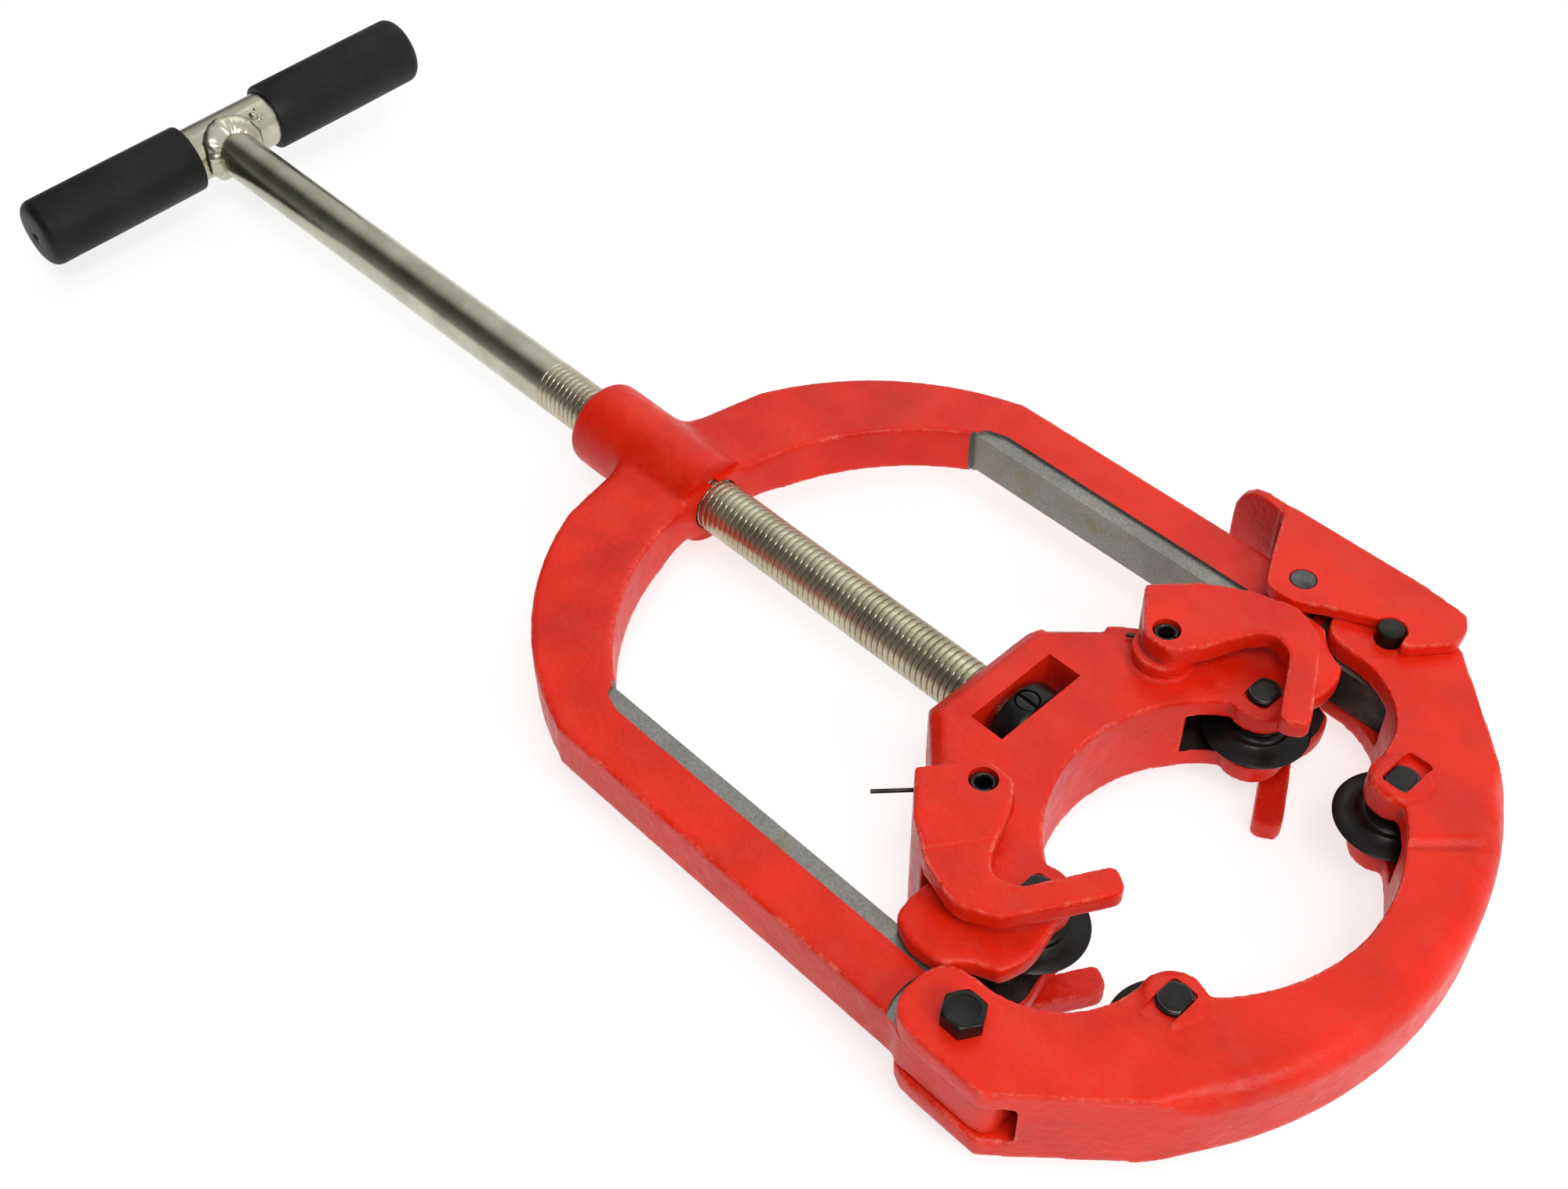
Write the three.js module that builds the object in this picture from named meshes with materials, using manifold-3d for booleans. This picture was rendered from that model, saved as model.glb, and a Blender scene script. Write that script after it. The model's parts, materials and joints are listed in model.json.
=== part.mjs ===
// Hinged four-wheel pipe cutter: a cast lyre frame with a T-handled feed screw, a slide block on the
// frame's machined rails, two sprung pipe guides, a hinged lower jaw and a hook latch.
// Millimetres. While it is being made, X runs along the feed screw from the handle to the jaw, Y runs
// from the hinge side to the latch side, Z is up, the screw's axis is the X axis, and x = 0 is at the
// guide pins. The last lines move the origin to the middle of the footprint.
import * as THREE from 'three';
import { mergeVertices } from 'three/addons/utils/BufferGeometryUtils.js';
import Module from 'manifold-3d';

const wasm = await Module();
wasm.setup();

// ---------------------------------------------------------------- driving dimensions
const GAP = 0.3;                 // left between pieces that touch
const FRAME_HALF = 12;           // half thickness of the painted frame casting
const RAIL_HALF = 10.5;          // half thickness where the rails are machined
const RAIL_INNER = 111.3;        // y of the machined inner faces of the rails
const RAIL_OUTER = 142.5;        // y of the rails' outer faces
const STRIP_OUTER = 119.4;       // y where the machined strips meet the paint
const STRIP_START = -155;        // x where the machined strips begin
const ARCH_OUTER = { x: -109.7, r: 148.3 };
const ARCH_INNER = { x: -81.7, r: 131.3 };
const SCREW_R = 12.5;            // feed screw and its shank
const JOURNAL_R = 9;             // screw's end inside the slide block
const BOSS_R = 23;               // threaded boss at the top of the arch
const BOSS_BACK = -293.5;
const BOSS_FRONT = -215;
const BAR_X = -630;              // T-bar, its tube and its rubber grips
const BAR_R = 15.5;
const BAR_BORE_R = 12.5;
const BAR_TURN = 2.8;            // degrees that the handle stands turned
const GRIP_R = 19;
const GRIP_LENGTH = 97;
const GRIP_INNER_ENDS = [-21.5, 30.5];   // the bar is welded on a little off centre
const BLOCK_HALF = 20.5;         // half thickness of the slide block
const BLOCK_BACK = -51;
const SLOT_HALF = 11;            // half height of the wheel pockets and slots
const THROAT_UPPER = { x: 80, r: 72.5 };
const THROAT_LOWER = { x: 51.5, r: 86 };
const JAW_HALF = 21.5;           // half thickness of the lower jaw
const WHEEL_R = 22.5;
const WHEEL_HUB_HALF = 10.4;
const POCKET_R = 25.5;           // pocket in the lower jaw that a wheel turns in
const PIN_R = 5;                 // cutter pins
const PIN_UPPER = [41, 69.5];
const PIN_LOWER = [105.7, 69.9];
const GUIDE_PIVOT_Y = 55;
const GUIDE_TOP = 38;            // top of a guide's upper plate
const GUIDE_PLATE = 10;
const SPRING_MEAN_R = 8;         // the guide springs' coils
const HINGE = [59.2, -129.3];
const LATCH_PIN = [59.2, 129.3];
const LATCH_PIVOT = [17, 127];
const LATCH_PIN_R = 5.6;
const LATCH_TOP = 27.8;
const LATCH_PLATE = 6;
const ROUND = 36;                // segments in a full circle

// ---------------------------------------------------------------- colours and finishes
const finish = (color, roughness, metalness) =>
  new THREE.MeshStandardMaterial({ color, roughness, metalness });
const RED_PAINT = finish(0xc8281c, 0.42, 0.0);
const NICKEL = finish(0xb9ad97, 0.28, 1.0);
const BLACK_OXIDE = finish(0x1d1c1e, 0.38, 0.8);
const RUBBER = finish(0x1b1c1d, 0.75, 0.0);
const PIN_STEEL = finish(0x6f7072, 0.35, 1.0);
const SPRING_STEEL = finish(0x2c2b2a, 0.4, 0.9);

// ---------------------------------------------------------------- solids
function toSolid(geometry) {
  const bare = geometry.clone();
  bare.deleteAttribute('normal');
  bare.deleteAttribute('uv');
  const merged = mergeVertices(bare, 1e-4);
  return new wasm.Manifold(new wasm.Mesh({
    numProp: 3,
    vertProperties: new Float32Array(merged.attributes.position.array),
    triVerts: new Uint32Array(merged.index.array),
  }));
}

function toGeometry(solid) {
  const mesh = solid.getMesh();
  const geometry = new THREE.BufferGeometry();
  geometry.setAttribute('position', new THREE.Float32BufferAttribute(mesh.vertProperties, 3));
  geometry.setIndex(Array.from(mesh.triVerts));
  geometry.computeVertexNormals();
  return geometry;
}

const join = (first, ...others) => others.reduce((sum, other) => sum.add(other), first);
const cut = (first, ...others) => others.reduce((rest, other) => rest.subtract(other), first);

// A straight-sided solid: a plan outline between two heights.
function slab(shape, low, high) {
  const geometry = new THREE.ExtrudeGeometry(shape, { depth: high - low, bevelEnabled: false });
  return toSolid(geometry.translate(0, 0, low));
}

function disc([x, y], radius, low, high, segments = ROUND) {
  const geometry = new THREE.CylinderGeometry(radius, radius, high - low, segments);
  return toSolid(geometry.rotateX(Math.PI / 2).translate(x, y, (low + high) / 2));
}

function box(low, high) {
  const size = low.map((value, i) => high[i] - value);
  const middle = low.map((value, i) => (high[i] + value) / 2);
  return toSolid(new THREE.BoxGeometry(...size).translate(...middle));
}

// A turned solid. The profile lists [distance along the axis, radius].
function turned(profile, axis, segments = ROUND) {
  const points = profile.map(([along, radius]) => new THREE.Vector2(radius, along));
  const geometry = new THREE.LatheGeometry(points, segments);
  if (axis === 'x') geometry.rotateZ(-Math.PI / 2);
  if (axis === 'z') geometry.rotateX(Math.PI / 2);
  return toSolid(geometry);
}

// Points along a circular arc, angles in degrees.
function arc(cx, cy, radius, from, to, count) {
  return Array.from({ length: count + 1 }, (_, i) => {
    const angle = THREE.MathUtils.degToRad(from + (to - from) * i / count);
    return [cx + radius * Math.cos(angle), cy + radius * Math.sin(angle)];
  });
}

// A closed outline through corners [x, y, corner radius].
function outline(corners) {
  const points = [];
  corners.forEach(([x, y, radius = 0], i) => {
    const corner = new THREE.Vector2(x, y);
    const [px, py, pr] = corners[(i + corners.length - 1) % corners.length];
    const [nx, ny, nr] = corners[(i + 1) % corners.length];
    const before = new THREE.Vector2(px, py).sub(corner);
    const after = new THREE.Vector2(nx, ny).sub(corner);
    if (radius === 0) {
      points.push(corner);
      return;
    }
    const half = Math.acos(before.clone().normalize().dot(after.clone().normalize())) / 2;
    const reach = Math.min(
      radius / Math.tan(half),
      before.length() * (pr ? 0.49 : 1),
      after.length() * (nr ? 0.49 : 1),
    );
    const start = corner.clone().add(before.setLength(reach));
    const end = corner.clone().add(after.setLength(reach));
    const steps = Math.max(2, Math.round((Math.PI - 2 * half) * 3));
    for (let k = 0; k <= steps; k += 1) {
      const t = k / steps;
      points.push(new THREE.Vector2(
        (1 - t) ** 2 * start.x + 2 * t * (1 - t) * corner.x + t ** 2 * end.x,
        (1 - t) ** 2 * start.y + 2 * t * (1 - t) * corner.y + t ** 2 * end.y,
      ));
    }
  });
  return new THREE.Shape(points);
}

const mirrored = (corners) => corners.map(([x, y, ...rest]) => [x, -y, ...rest]).reverse();
const upsideDown = (solid) => solid.scale([1, 1, -1]);
const bothFaces = (solid) => solid.add(upsideDown(solid));
const acrossXZ = (solid) => solid.scale([1, -1, 1]);

// ---------------------------------------------------------------- assembly
const cutter = new THREE.Group();
const handle = new THREE.Group();          // the pieces that turn with the screw
handle.rotation.x = THREE.MathUtils.degToRad(BAR_TURN);
cutter.add(handle);

function piece(name, solid, material, parent = cutter) {
  const mesh = new THREE.Mesh(toGeometry(solid), material);
  mesh.name = name;
  parent.add(mesh);
}

// ---------------------------------------------------------------- frame
function archCorners(arch, y) {
  const start = THREE.MathUtils.radToDeg(Math.asin(y / arch.r));
  return arc(arch.x, 0, arch.r, 180 - start, 180 + start, 30);
}

function frameOutline() {
  const lugStart = 38;
  const lugEnd = 86;
  const lugOuter = RAIL_OUTER + 2.4;
  return outline([
    ...archCorners(ARCH_OUTER, RAIL_OUTER),
    [lugStart, -RAIL_OUTER, 6],
    [lugStart + 4, -lugOuter, 6],
    [lugEnd, -lugOuter, 9],
    [lugEnd, -RAIL_INNER, 11],
    ...archCorners(ARCH_INNER, RAIL_INNER).reverse(),
    [lugEnd, RAIL_INNER, 11],
    [lugEnd, RAIL_OUTER, 11],
  ]);
}

// What the milling cutter takes off the top of one rail, down to the machined height.
function stripCut(side, pivot, radius) {
  const strip = outline([
    [STRIP_START, side * (RAIL_INNER - 4)],
    [STRIP_START + 4, side * (STRIP_OUTER - 3), 5],
    [STRIP_START + 14, side * STRIP_OUTER, 5],
    [pivot[0] - radius - 6, side * STRIP_OUTER, 8],
    [pivot[0] - radius * 0.7, side * (Math.abs(pivot[1]) - radius * 0.3)],
    [pivot[0], side * (RAIL_INNER - 4)],
  ]);
  const high = FRAME_HALF + 1;
  const top = join(
    slab(strip, RAIL_HALF, high),
    disc(pivot, radius, RAIL_HALF, high),
    box([pivot[0], side > 0 ? 100 : -150, RAIL_HALF], [100, side > 0 ? 150 : -100, high]),
  );
  return bothFaces(top);
}

// The mouth in the latch lug. It widens a little, as the latch pin leaves it on an arc about the hinge.
function latchMouth() {
  const [x, y] = LATCH_PIN;
  const mouthR = LATCH_PIN_R + 0.8;
  return join(
    disc(LATCH_PIN, mouthR, -20, 20, 28),
    slab(outline([[x, y - mouthR], [x, y + mouthR], [x + 40, y + mouthR], [x + 40, y - mouthR - 3]]), -20, 20),
  );
}

function makeFrame() {
  const boss = turned([
    [BOSS_BACK, 0],
    [BOSS_BACK, BOSS_R - 2.5],
    [BOSS_BACK + 2.5, BOSS_R],
    [BOSS_FRONT - 3, BOSS_R],
    [BOSS_FRONT, BOSS_R - 3],
    [BOSS_FRONT, 0],
  ], 'x');
  const bore = turned([
    [BOSS_BACK - 5, 0],
    [BOSS_BACK - 5, SCREW_R + 0.4],
    [BOSS_FRONT + 5, SCREW_R + 0.4],
    [BOSS_FRONT + 5, 0],
  ], 'x');
  const body = join(slab(frameOutline(), -FRAME_HALF, FRAME_HALF), boss);
  const spotFaceR = 9.5;
  piece('main_frame', cut(
    body,
    bore,
    stripCut(-1, HINGE, 30),
    stripCut(1, LATCH_PIN, 30),
    bothFaces(disc(LATCH_PIVOT, spotFaceR, RAIL_HALF, FRAME_HALF + 1)),
    disc(HINGE, PIN_R + GAP, -20, 20),
    disc(LATCH_PIVOT, LATCH_PIN_R + GAP, -20, 20),
    latchMouth(),
  ), RED_PAINT);
}

// ---------------------------------------------------------------- feed screw and handle
function alongBar(profile) {
  const points = profile.map(([along, radius]) => new THREE.Vector2(radius, along));
  return toSolid(new THREE.LatheGeometry(points, 28).translate(BAR_X, 0, 0));
}

const cylinderProfile = (from, to, radius) => [[from, 0], [from, radius], [to, radius], [to, 0]];

function makeHandle() {
  const barFit = alongBar(cylinderProfile(-60, 60, BAR_R + GAP));
  const journalEnd = -9;
  const screw = turned([
    [BAR_X, 0],
    [BAR_X, SCREW_R],
    [BLOCK_BACK - 2, SCREW_R],
    [BLOCK_BACK - GAP, SCREW_R - 1.7],
    [BLOCK_BACK - GAP, JOURNAL_R],
    [journalEnd - 1, JOURNAL_R],
    [journalEnd, JOURNAL_R - 1],
    [journalEnd, 0],
  ], 'x');
  piece('feed_screw', cut(screw, barFit), NICKEL, handle);

  const barStart = GRIP_INNER_ENDS[0] - GRIP_LENGTH + 6;
  const barEnd = GRIP_INNER_ENDS[1] + GRIP_LENGTH - 6;
  const bar = alongBar(cylinderProfile(barStart, barEnd, BAR_R));
  const barBore = alongBar(cylinderProfile(barStart - 1, barEnd + 1, BAR_BORE_R));
  piece('tee_bar', cut(bar, barBore), NICKEL, handle);

  const weldFront = BAR_X + BAR_R + 6;
  const bead = turned([
    [BAR_X + 3, SCREW_R + GAP],
    [BAR_X + 3, SCREW_R + 5],
    [weldFront - 5, SCREW_R + 5],
    [weldFront - 1.5, SCREW_R + 3],
    [weldFront, SCREW_R + GAP],
    [BAR_X + 3, SCREW_R + GAP],
  ], 'x');
  piece('tee_weld', cut(bead, barFit), NICKEL, handle);
  makeGrips();
}

// A rubber sleeve pushed over the end of the bar, closed but for a small vent hole.
function makeGrips() {
  const vent = 1.3;
  const wallEnd = 5;
  const names = ['grip_hinge_side', 'grip_latch_side'];
  GRIP_INNER_ENDS.forEach((inner, i) => {
    const side = i === 0 ? -1 : 1;
    const at = (depth) => inner + side * depth;
    const profile = [
      [at(0), BAR_R + GAP],
      [at(0), GRIP_R - 1],
      [at(1), GRIP_R],
      [at(GRIP_LENGTH - 6), GRIP_R],
      [at(GRIP_LENGTH - 2), GRIP_R - 1.6],
      [at(GRIP_LENGTH), GRIP_R - 6],
      [at(GRIP_LENGTH), vent],
      [at(GRIP_LENGTH - wallEnd), vent],
      [at(GRIP_LENGTH - wallEnd), BAR_R + GAP],
      [at(0), BAR_R + GAP],
    ];
    piece(names[i], alongBar(side > 0 ? profile : profile.reverse()), RUBBER, handle);
  });
}

// The collar that keeps the screw's end in the block, with its slotted set screw.
function makeCollar() {
  const radius = 20.6;
  const low = -29.8;
  const high = -17.4;
  const bore = JOURNAL_R + GAP;
  const middle = (low + high) / 2;
  const screwR = 5.2;
  const collar = turned([
    [low, bore],
    [low, radius - 1.6],
    [low + 1.6, radius],
    [high - 1.6, radius],
    [high, radius - 1.6],
    [high, bore],
    [low, bore],
  ], 'x');
  const hole = disc([middle, 0], screwR + GAP, 0, radius + 2, 24);
  piece('thrust_collar', cut(collar, hole), BLACK_OXIDE, handle);
  const setScrew = disc([middle, 0], screwR, bore + 0.2, radius - 1, 24);
  const slot = box([middle - 6, -0.7, radius - 3], [middle + 6, 0.7, radius]);
  piece('collar_screw', cut(setScrew, slot), BLACK_OXIDE, handle);
}

// ---------------------------------------------------------------- slide block
// Half of the block's plan outline, from the middle of its back face to the throat.
const BLOCK_SIDE = [
  [BLOCK_BACK, 30, 3],
  [-24, 57, 2],
  [-14, 64, 3],
  [4, 70, 6],
  [9.4, 86, 10],
  [9.4, 104],
  [11, 114, 7],
  [22, 118.5, 12],
  [40, 117.5, 16],
  [55, 107, 20],
  [59, 91, 20],
  [55.5, 77, 12],
  [52, 66, 6],
  [46, 57],
];

// Plan of the slot that a wheel and a rail run in. It has a straight back wall and is open to the throat
// and to the side.
const WHEEL_SLOT = [[-4, 94.1], [-4, 140], [75, 140], [75, 30], [30.9, 30], [23, 44.5]];

// A wedge that slopes the top edge of an upright face. The face passes through a plan point.
function slope([x, y], facing, length, inward, down) {
  const shape = new THREE.Shape([
    new THREE.Vector2(-inward, BLOCK_HALF),
    new THREE.Vector2(inward * 0.4, BLOCK_HALF - down * 1.4),
    new THREE.Vector2(inward * 0.4, BLOCK_HALF + down * 0.6),
    new THREE.Vector2(-inward, BLOCK_HALF + down * 0.6),
  ]);
  const geometry = new THREE.ExtrudeGeometry(shape, { depth: length, bevelEnabled: false });
  geometry.translate(0, 0, -length / 2).rotateX(Math.PI / 2);
  geometry.rotateZ(THREE.MathUtils.degToRad(facing)).translate(x, y, 0);
  return toSolid(geometry);
}

function makeBlock() {
  const pivot = [0, GUIDE_PIVOT_Y];
  const plan = outline([...BLOCK_SIDE, ...mirrored(BLOCK_SIDE)]);
  const swing = 24.6;             // the lower jaw's ear turns inside this radius
  const windowBack = -33.6;
  const windowFront = -16.9;
  const throat = disc([THROAT_UPPER.x, 0], THROAT_UPPER.r, -30, 30, 72);
  const reach = (radius, from, to) => turned(cylinderProfile(from, to, radius), 'x');
  let body = cut(slab(plan, -BLOCK_HALF, BLOCK_HALF), throat);
  for (const mirror of [(s) => s, acrossXZ]) {
    body = body.add(mirror(disc(pivot, 17.5, -BLOCK_HALF, BLOCK_HALF)));
    body = body.add(mirror(disc(pivot, 12, -BLOCK_HALF - 0.6, BLOCK_HALF + 0.6)));
    body = body.add(mirror(disc(PIN_UPPER, 14, -BLOCK_HALF, BLOCK_HALF)));
  }
  for (const mirror of [(s) => s, acrossXZ]) {
    body = cut(
      body,
      mirror(slab(outline(WHEEL_SLOT), -SLOT_HALF, SLOT_HALF)),
      mirror(disc(PIN_UPPER, PIN_R + GAP, -30, 30, 18)),
      mirror(disc(PIN_UPPER, 7.6, BLOCK_HALF - 1.8, 30, 24)),
      mirror(disc(pivot, 5.8, -30, 30, 18)),
      mirror(disc([HINGE[0], Math.abs(HINGE[1])], swing, -30, 30, 36)),
      mirror(bothFaces(slope([-37, 44], 135, 26, 5, 4))),
    );
  }
  piece('slide_block', cut(
    body,
    box([windowBack, -24, -30], [windowFront, 24, 30]),
    reach(JOURNAL_R + 0.4, BLOCK_BACK - 5, windowBack + 1),
    reach(JOURNAL_R + 0.4, windowFront - 1, -8),
    bothFaces(slope([BLOCK_BACK, 0], 180, 90, 6.5, 6)),
  ), RED_PAINT);
}

// ---------------------------------------------------------------- pipe guides
// Plan outline of a guide on the latch side: pivot end, then the finger that reaches to the throat.
const GUIDE_OUTLINE = [
  [-22.5, 69, 3],
  [-5, 46.5, 9],
  [9, 46.5, 7],
  [17, 59.5, 8],
  [24, 76, 5],
  [31, 85.5, 8],
  [42, 81, 7],
  [60, 49, 4],
  [70.5, 55.5, 5],
  [57, 79, 10],
  [46, 97, 12],
  [30, 104.5, 12],
  [10, 98, 12],
  [-7, 86, 10],
];

function makeGuide(name, side) {
  const low = GUIDE_TOP - GUIDE_PLATE;
  const plate = slab(outline(GUIDE_OUTLINE), low, GUIDE_TOP);
  const wall = slab(outline([
    [-22.5, 69, 1],
    [-18.8, 65.6],
    [7.5, 89.2],
    [6.6, 95.6],
    [-7, 86, 6],
  ]), -GUIDE_TOP, GUIDE_TOP);
  const pivot = [0, GUIDE_PIVOT_Y];
  const collarLow = BLOCK_HALF + 0.9;
  const collar = cut(disc(pivot, 12.8, collarLow, low + 0.1), disc(pivot, 9.4, 0, 50, 24));
  const body = cut(
    join(bothFaces(join(plate, collar)), wall),
    disc(pivot, 5.8, -50, 50, 18),
  );
  const slots = springLegs(side).map(([from, to]) => legSlot(from, to, collarLow - 1, low));
  piece(name, cut(side > 0 ? body : acrossXZ(body), ...slots), RED_PAINT);
}

// The slot in a guide's collar that one leg of its spring leaves through.
function legSlot(from, to, low, high) {
  const along = to.clone().sub(from).setLength(13);
  const across = new THREE.Vector2(-along.y, along.x).setLength(1.3);
  const end = from.clone().add(along);
  return slab(outline([
    [from.x - across.x, from.y - across.y],
    [end.x - across.x, end.y - across.y],
    [end.x + across.x, end.y + across.y],
    [from.x + across.x, from.y + across.y],
  ]), low, high);
}

// The rolled pin that a guide swings on, with its open seam.
function makeGuidePin(name, side) {
  const outer = 5.5;
  const inner = 3.3;
  const length = 36.4;
  const y = side * GUIDE_PIVOT_Y;
  const sleeve = cut(
    disc([0, y], outer, -length, length, 24),
    disc([0, y], inner, -50, 50, 18),
    box([0, y - 0.5, -50], [10, y + 0.5, 50]),
  );
  piece(name, sleeve, BLACK_OXIDE);
}

// The two straight legs of a guide's spring, each from where it leaves the coil to its tip.
function springLegs(side) {
  const tips = side < 0 ? [[-34, -81], [4, -67]] : [[-17.5, 53.5], [4, 67]];
  const centre = new THREE.Vector2(0, side * GUIDE_PIVOT_Y);
  return tips.map(([x, y], i) => {
    const tip = new THREE.Vector2(x, y);
    const away = tip.clone().sub(centre);
    const turn = Math.acos(SPRING_MEAN_R / away.length()) * (i === 0 ? -1 : 1);
    const leaves = new THREE.Vector2(SPRING_MEAN_R, 0).rotateAround(new THREE.Vector2(), away.angle() + turn);
    return [leaves.add(centre), tip];
  });
}

// A torsion spring round a guide pin, between the block and the guide's upper plate.
function makeSpring(name, side) {
  const wire = 0.9;
  const low = 22.4;
  const high = 26.4;
  const centre = new THREE.Vector2(0, side * GUIDE_PIVOT_Y);
  const legs = springLegs(side);
  const touch = legs.map(([leaves]) => leaves.clone().sub(centre).angle());
  const leastTurns = 1.2;
  let sweep = touch[1] - touch[0];
  while (sweep > -leastTurns * 2 * Math.PI) sweep -= 2 * Math.PI;
  const steps = 24;
  const points = [new THREE.Vector3(...legs[0][1], low)];
  for (let i = 0; i <= steps; i += 1) {
    const angle = touch[0] + sweep * i / steps;
    points.push(new THREE.Vector3(
      centre.x + SPRING_MEAN_R * Math.cos(angle),
      centre.y + SPRING_MEAN_R * Math.sin(angle),
      low + (high - low) * i / steps,
    ));
  }
  points.push(new THREE.Vector3(...legs[1][1], high));
  const section = new THREE.Shape(arc(0, 0, wire, 0, 300, 5).map((p) => new THREE.Vector2(...p)));
  const path = new THREE.CatmullRomCurve3(points, false, 'centripetal');
  const coil = new THREE.ExtrudeGeometry(section, { steps: 44, bevelEnabled: false, extrudePath: path });
  piece(name, toSolid(coil), SPRING_STEEL);
}

// ---------------------------------------------------------------- cutter wheels and their pins
function makeWheel(name, [x, y]) {
  const bore = PIN_R + GAP;
  const half = [
    [-WHEEL_HUB_HALF, bore],
    [-WHEEL_HUB_HALF, 10],
    [-5, 10.6],
    [-2.8, 15.2],
  ];
  const profile = [
    ...half,
    [0, WHEEL_R],
    ...half.map(([z, r]) => [-z, r]).reverse(),
    half[0],
  ];
  piece(name, turned(profile, 'z', 24).translate([x, y, 0]), BLACK_OXIDE);
}

// A cutter pin: a head with two flats that sits in the casting's recess, and a groove for its clip.
function makeCutterPin(name, [x, y], face) {
  const headR = 7.1;
  const headLow = face - 1.5;
  const headHigh = face + 2.4;
  const flat = 5.3;
  const tip = -face - 4.6;
  const groove = [-face - 3.2, -face - 1.8];
  const pin = turned([
    [tip, 0],
    [tip, PIN_R - 1],
    [tip + 1, PIN_R],
    [groove[0], PIN_R],
    [groove[0], PIN_R - 1],
    [groove[1], PIN_R - 1],
    [groove[1], PIN_R],
    [headLow, PIN_R],
    [headLow, headR],
    [headHigh - 1, headR],
    [headHigh, headR - 1],
    [headHigh, 0],
  ], 'z', 18);
  const flats = [[flat, 20], [-20, -flat]].map(([from, to]) =>
    box([from, -20, headLow + 0.2], [to, 20, 60]));
  piece(name, cut(pin, ...flats).translate([x, y, 0]), BLACK_OXIDE);
}

// The spring clip in the groove at the foot of a cutter pin.
function makePinClip(name, [x, y], face) {
  const low = -face - 3;
  const high = -face - 2;
  const clip = cut(
    disc([0, 0], 8, low, high, 16),
    disc([0, 0], PIN_R - 1 + GAP, low - 1, high + 1, 12),
    box([0, -3.2, low - 1], [12, 3.2, high + 1]),
  );
  piece(name, clip.translate([x, y, 0]), SPRING_STEEL);
}

function makeCutters() {
  const places = [
    ['upper', PIN_UPPER, BLOCK_HALF],
    ['lower', PIN_LOWER, JAW_HALF],
  ];
  for (const [level, [x, y], face] of places) {
    for (const [side, sign] of [['hinge_side', -1], ['latch_side', 1]]) {
      const place = [x, sign * y];
      makeWheel(`cutter_wheel_${level}_${side}`, place);
      makeCutterPin(`cutter_pin_${level}_${side}`, place, face);
      makePinClip(`pin_clip_${level}_${side}`, place, face);
    }
  }
}

// ---------------------------------------------------------------- lower jaw and its hinge
function jawOutline() {
  const end = [
    [136.2, 97.3, 36],
    [83, 147, 6],
    [35.4, 147, 17],
    [35.4, 113, 15],
    [53, 113],
  ];
  const outer = arc(-5, 0, 171.5, -33, 33, 22);
  return outline([...outer, ...end, ...mirrored(end)]);
}

function makeJaw() {
  const slotEnd = 92.4;
  const slotHalf = 10.9;
  const relief = [53, 73];
  const reliefR = 40;
  let body = cut(
    slab(jawOutline(), -JAW_HALF, JAW_HALF),
    disc([THROAT_LOWER.x, 0], THROAT_LOWER.r, -30, 30, 72),
    disc(relief, reliefR, -30, 30, 44),
    acrossXZ(disc(relief, reliefR, -30, 30, 44)),
  );
  for (const mirror of [(s) => s, acrossXZ]) {
    body = body.add(mirror(disc(PIN_LOWER, 13, -JAW_HALF, JAW_HALF)));
  }
  for (const mirror of [(s) => s, acrossXZ]) {
    body = cut(
      body,
      mirror(disc(PIN_LOWER, POCKET_R, -SLOT_HALF, SLOT_HALF)),
      mirror(disc(PIN_LOWER, PIN_R + GAP, -30, 30, 18)),
      mirror(disc(PIN_LOWER, 7.6, JAW_HALF - 1.8, 30, 24)),
    );
  }
  const fork = join(
    box([20, -160, -slotHalf], [slotEnd, HINGE[1] + 18.6, slotHalf]),
    disc(HINGE, 30.3, -slotHalf, slotHalf, 48),
  );
  piece('lower_jaw', cut(
    body,
    fork,
    acrossXZ(fork),
    disc(HINGE, PIN_R + GAP, -30, 30, 18),
    disc(LATCH_PIN, LATCH_PIN_R + GAP, -30, 30, 18),
  ), RED_PAINT);
}

function hexagon([x, y], acrossCorners, low, high) {
  return disc([x, y], acrossCorners / 2, low, high, 6);
}

function makeHinge() {
  const acrossCorners = 17.6;
  const headLow = JAW_HALF + GAP;
  const washer = [-headLow - 1.8, -headLow];
  const nut = [washer[0] - GAP - 8, washer[0] - GAP];
  const shankEnd = nut[0] - 2.5;
  piece('hinge_bolt', join(
    disc(HINGE, PIN_R, shankEnd, headLow + 1, 24),
    hexagon(HINGE, acrossCorners, headLow, headLow + 7),
  ), BLACK_OXIDE);
  piece('hinge_washer', cut(
    disc(HINGE, 10, ...washer, 28),
    disc(HINGE, PIN_R + GAP, -50, 50, 18),
  ), BLACK_OXIDE);
  piece('hinge_nut', cut(
    hexagon(HINGE, acrossCorners, ...nut),
    disc(HINGE, PIN_R + GAP, -50, 50, 18),
  ), BLACK_OXIDE);
}

// ---------------------------------------------------------------- latch
// Plan outline of a latch plate: round the pivot, along the hook to its beak, back along the spine.
function latchOutline() {
  const [px, py] = LATCH_PIN;
  const notch = arc(px, py, LATCH_PIN_R + 1.1, -2, 172, 10);
  return outline([
    [-15.5, 160.3, 3],
    [-1.5, 131, 8],
    [8, 112.5, 10],
    [22, 113.5, 8],
    [33, 120.6, 6],
    [43, 125.6, 5],
    [51, 129.4],
    ...notch.reverse(),
    [66.2, 124.4, 1.5],
    [70.5, 126.4, 3],
    [83, 142, 4],
    [81, 152, 4],
    [76.5, 158.2, 4],
    [56, 160.3, 10],
  ]);
}

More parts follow.
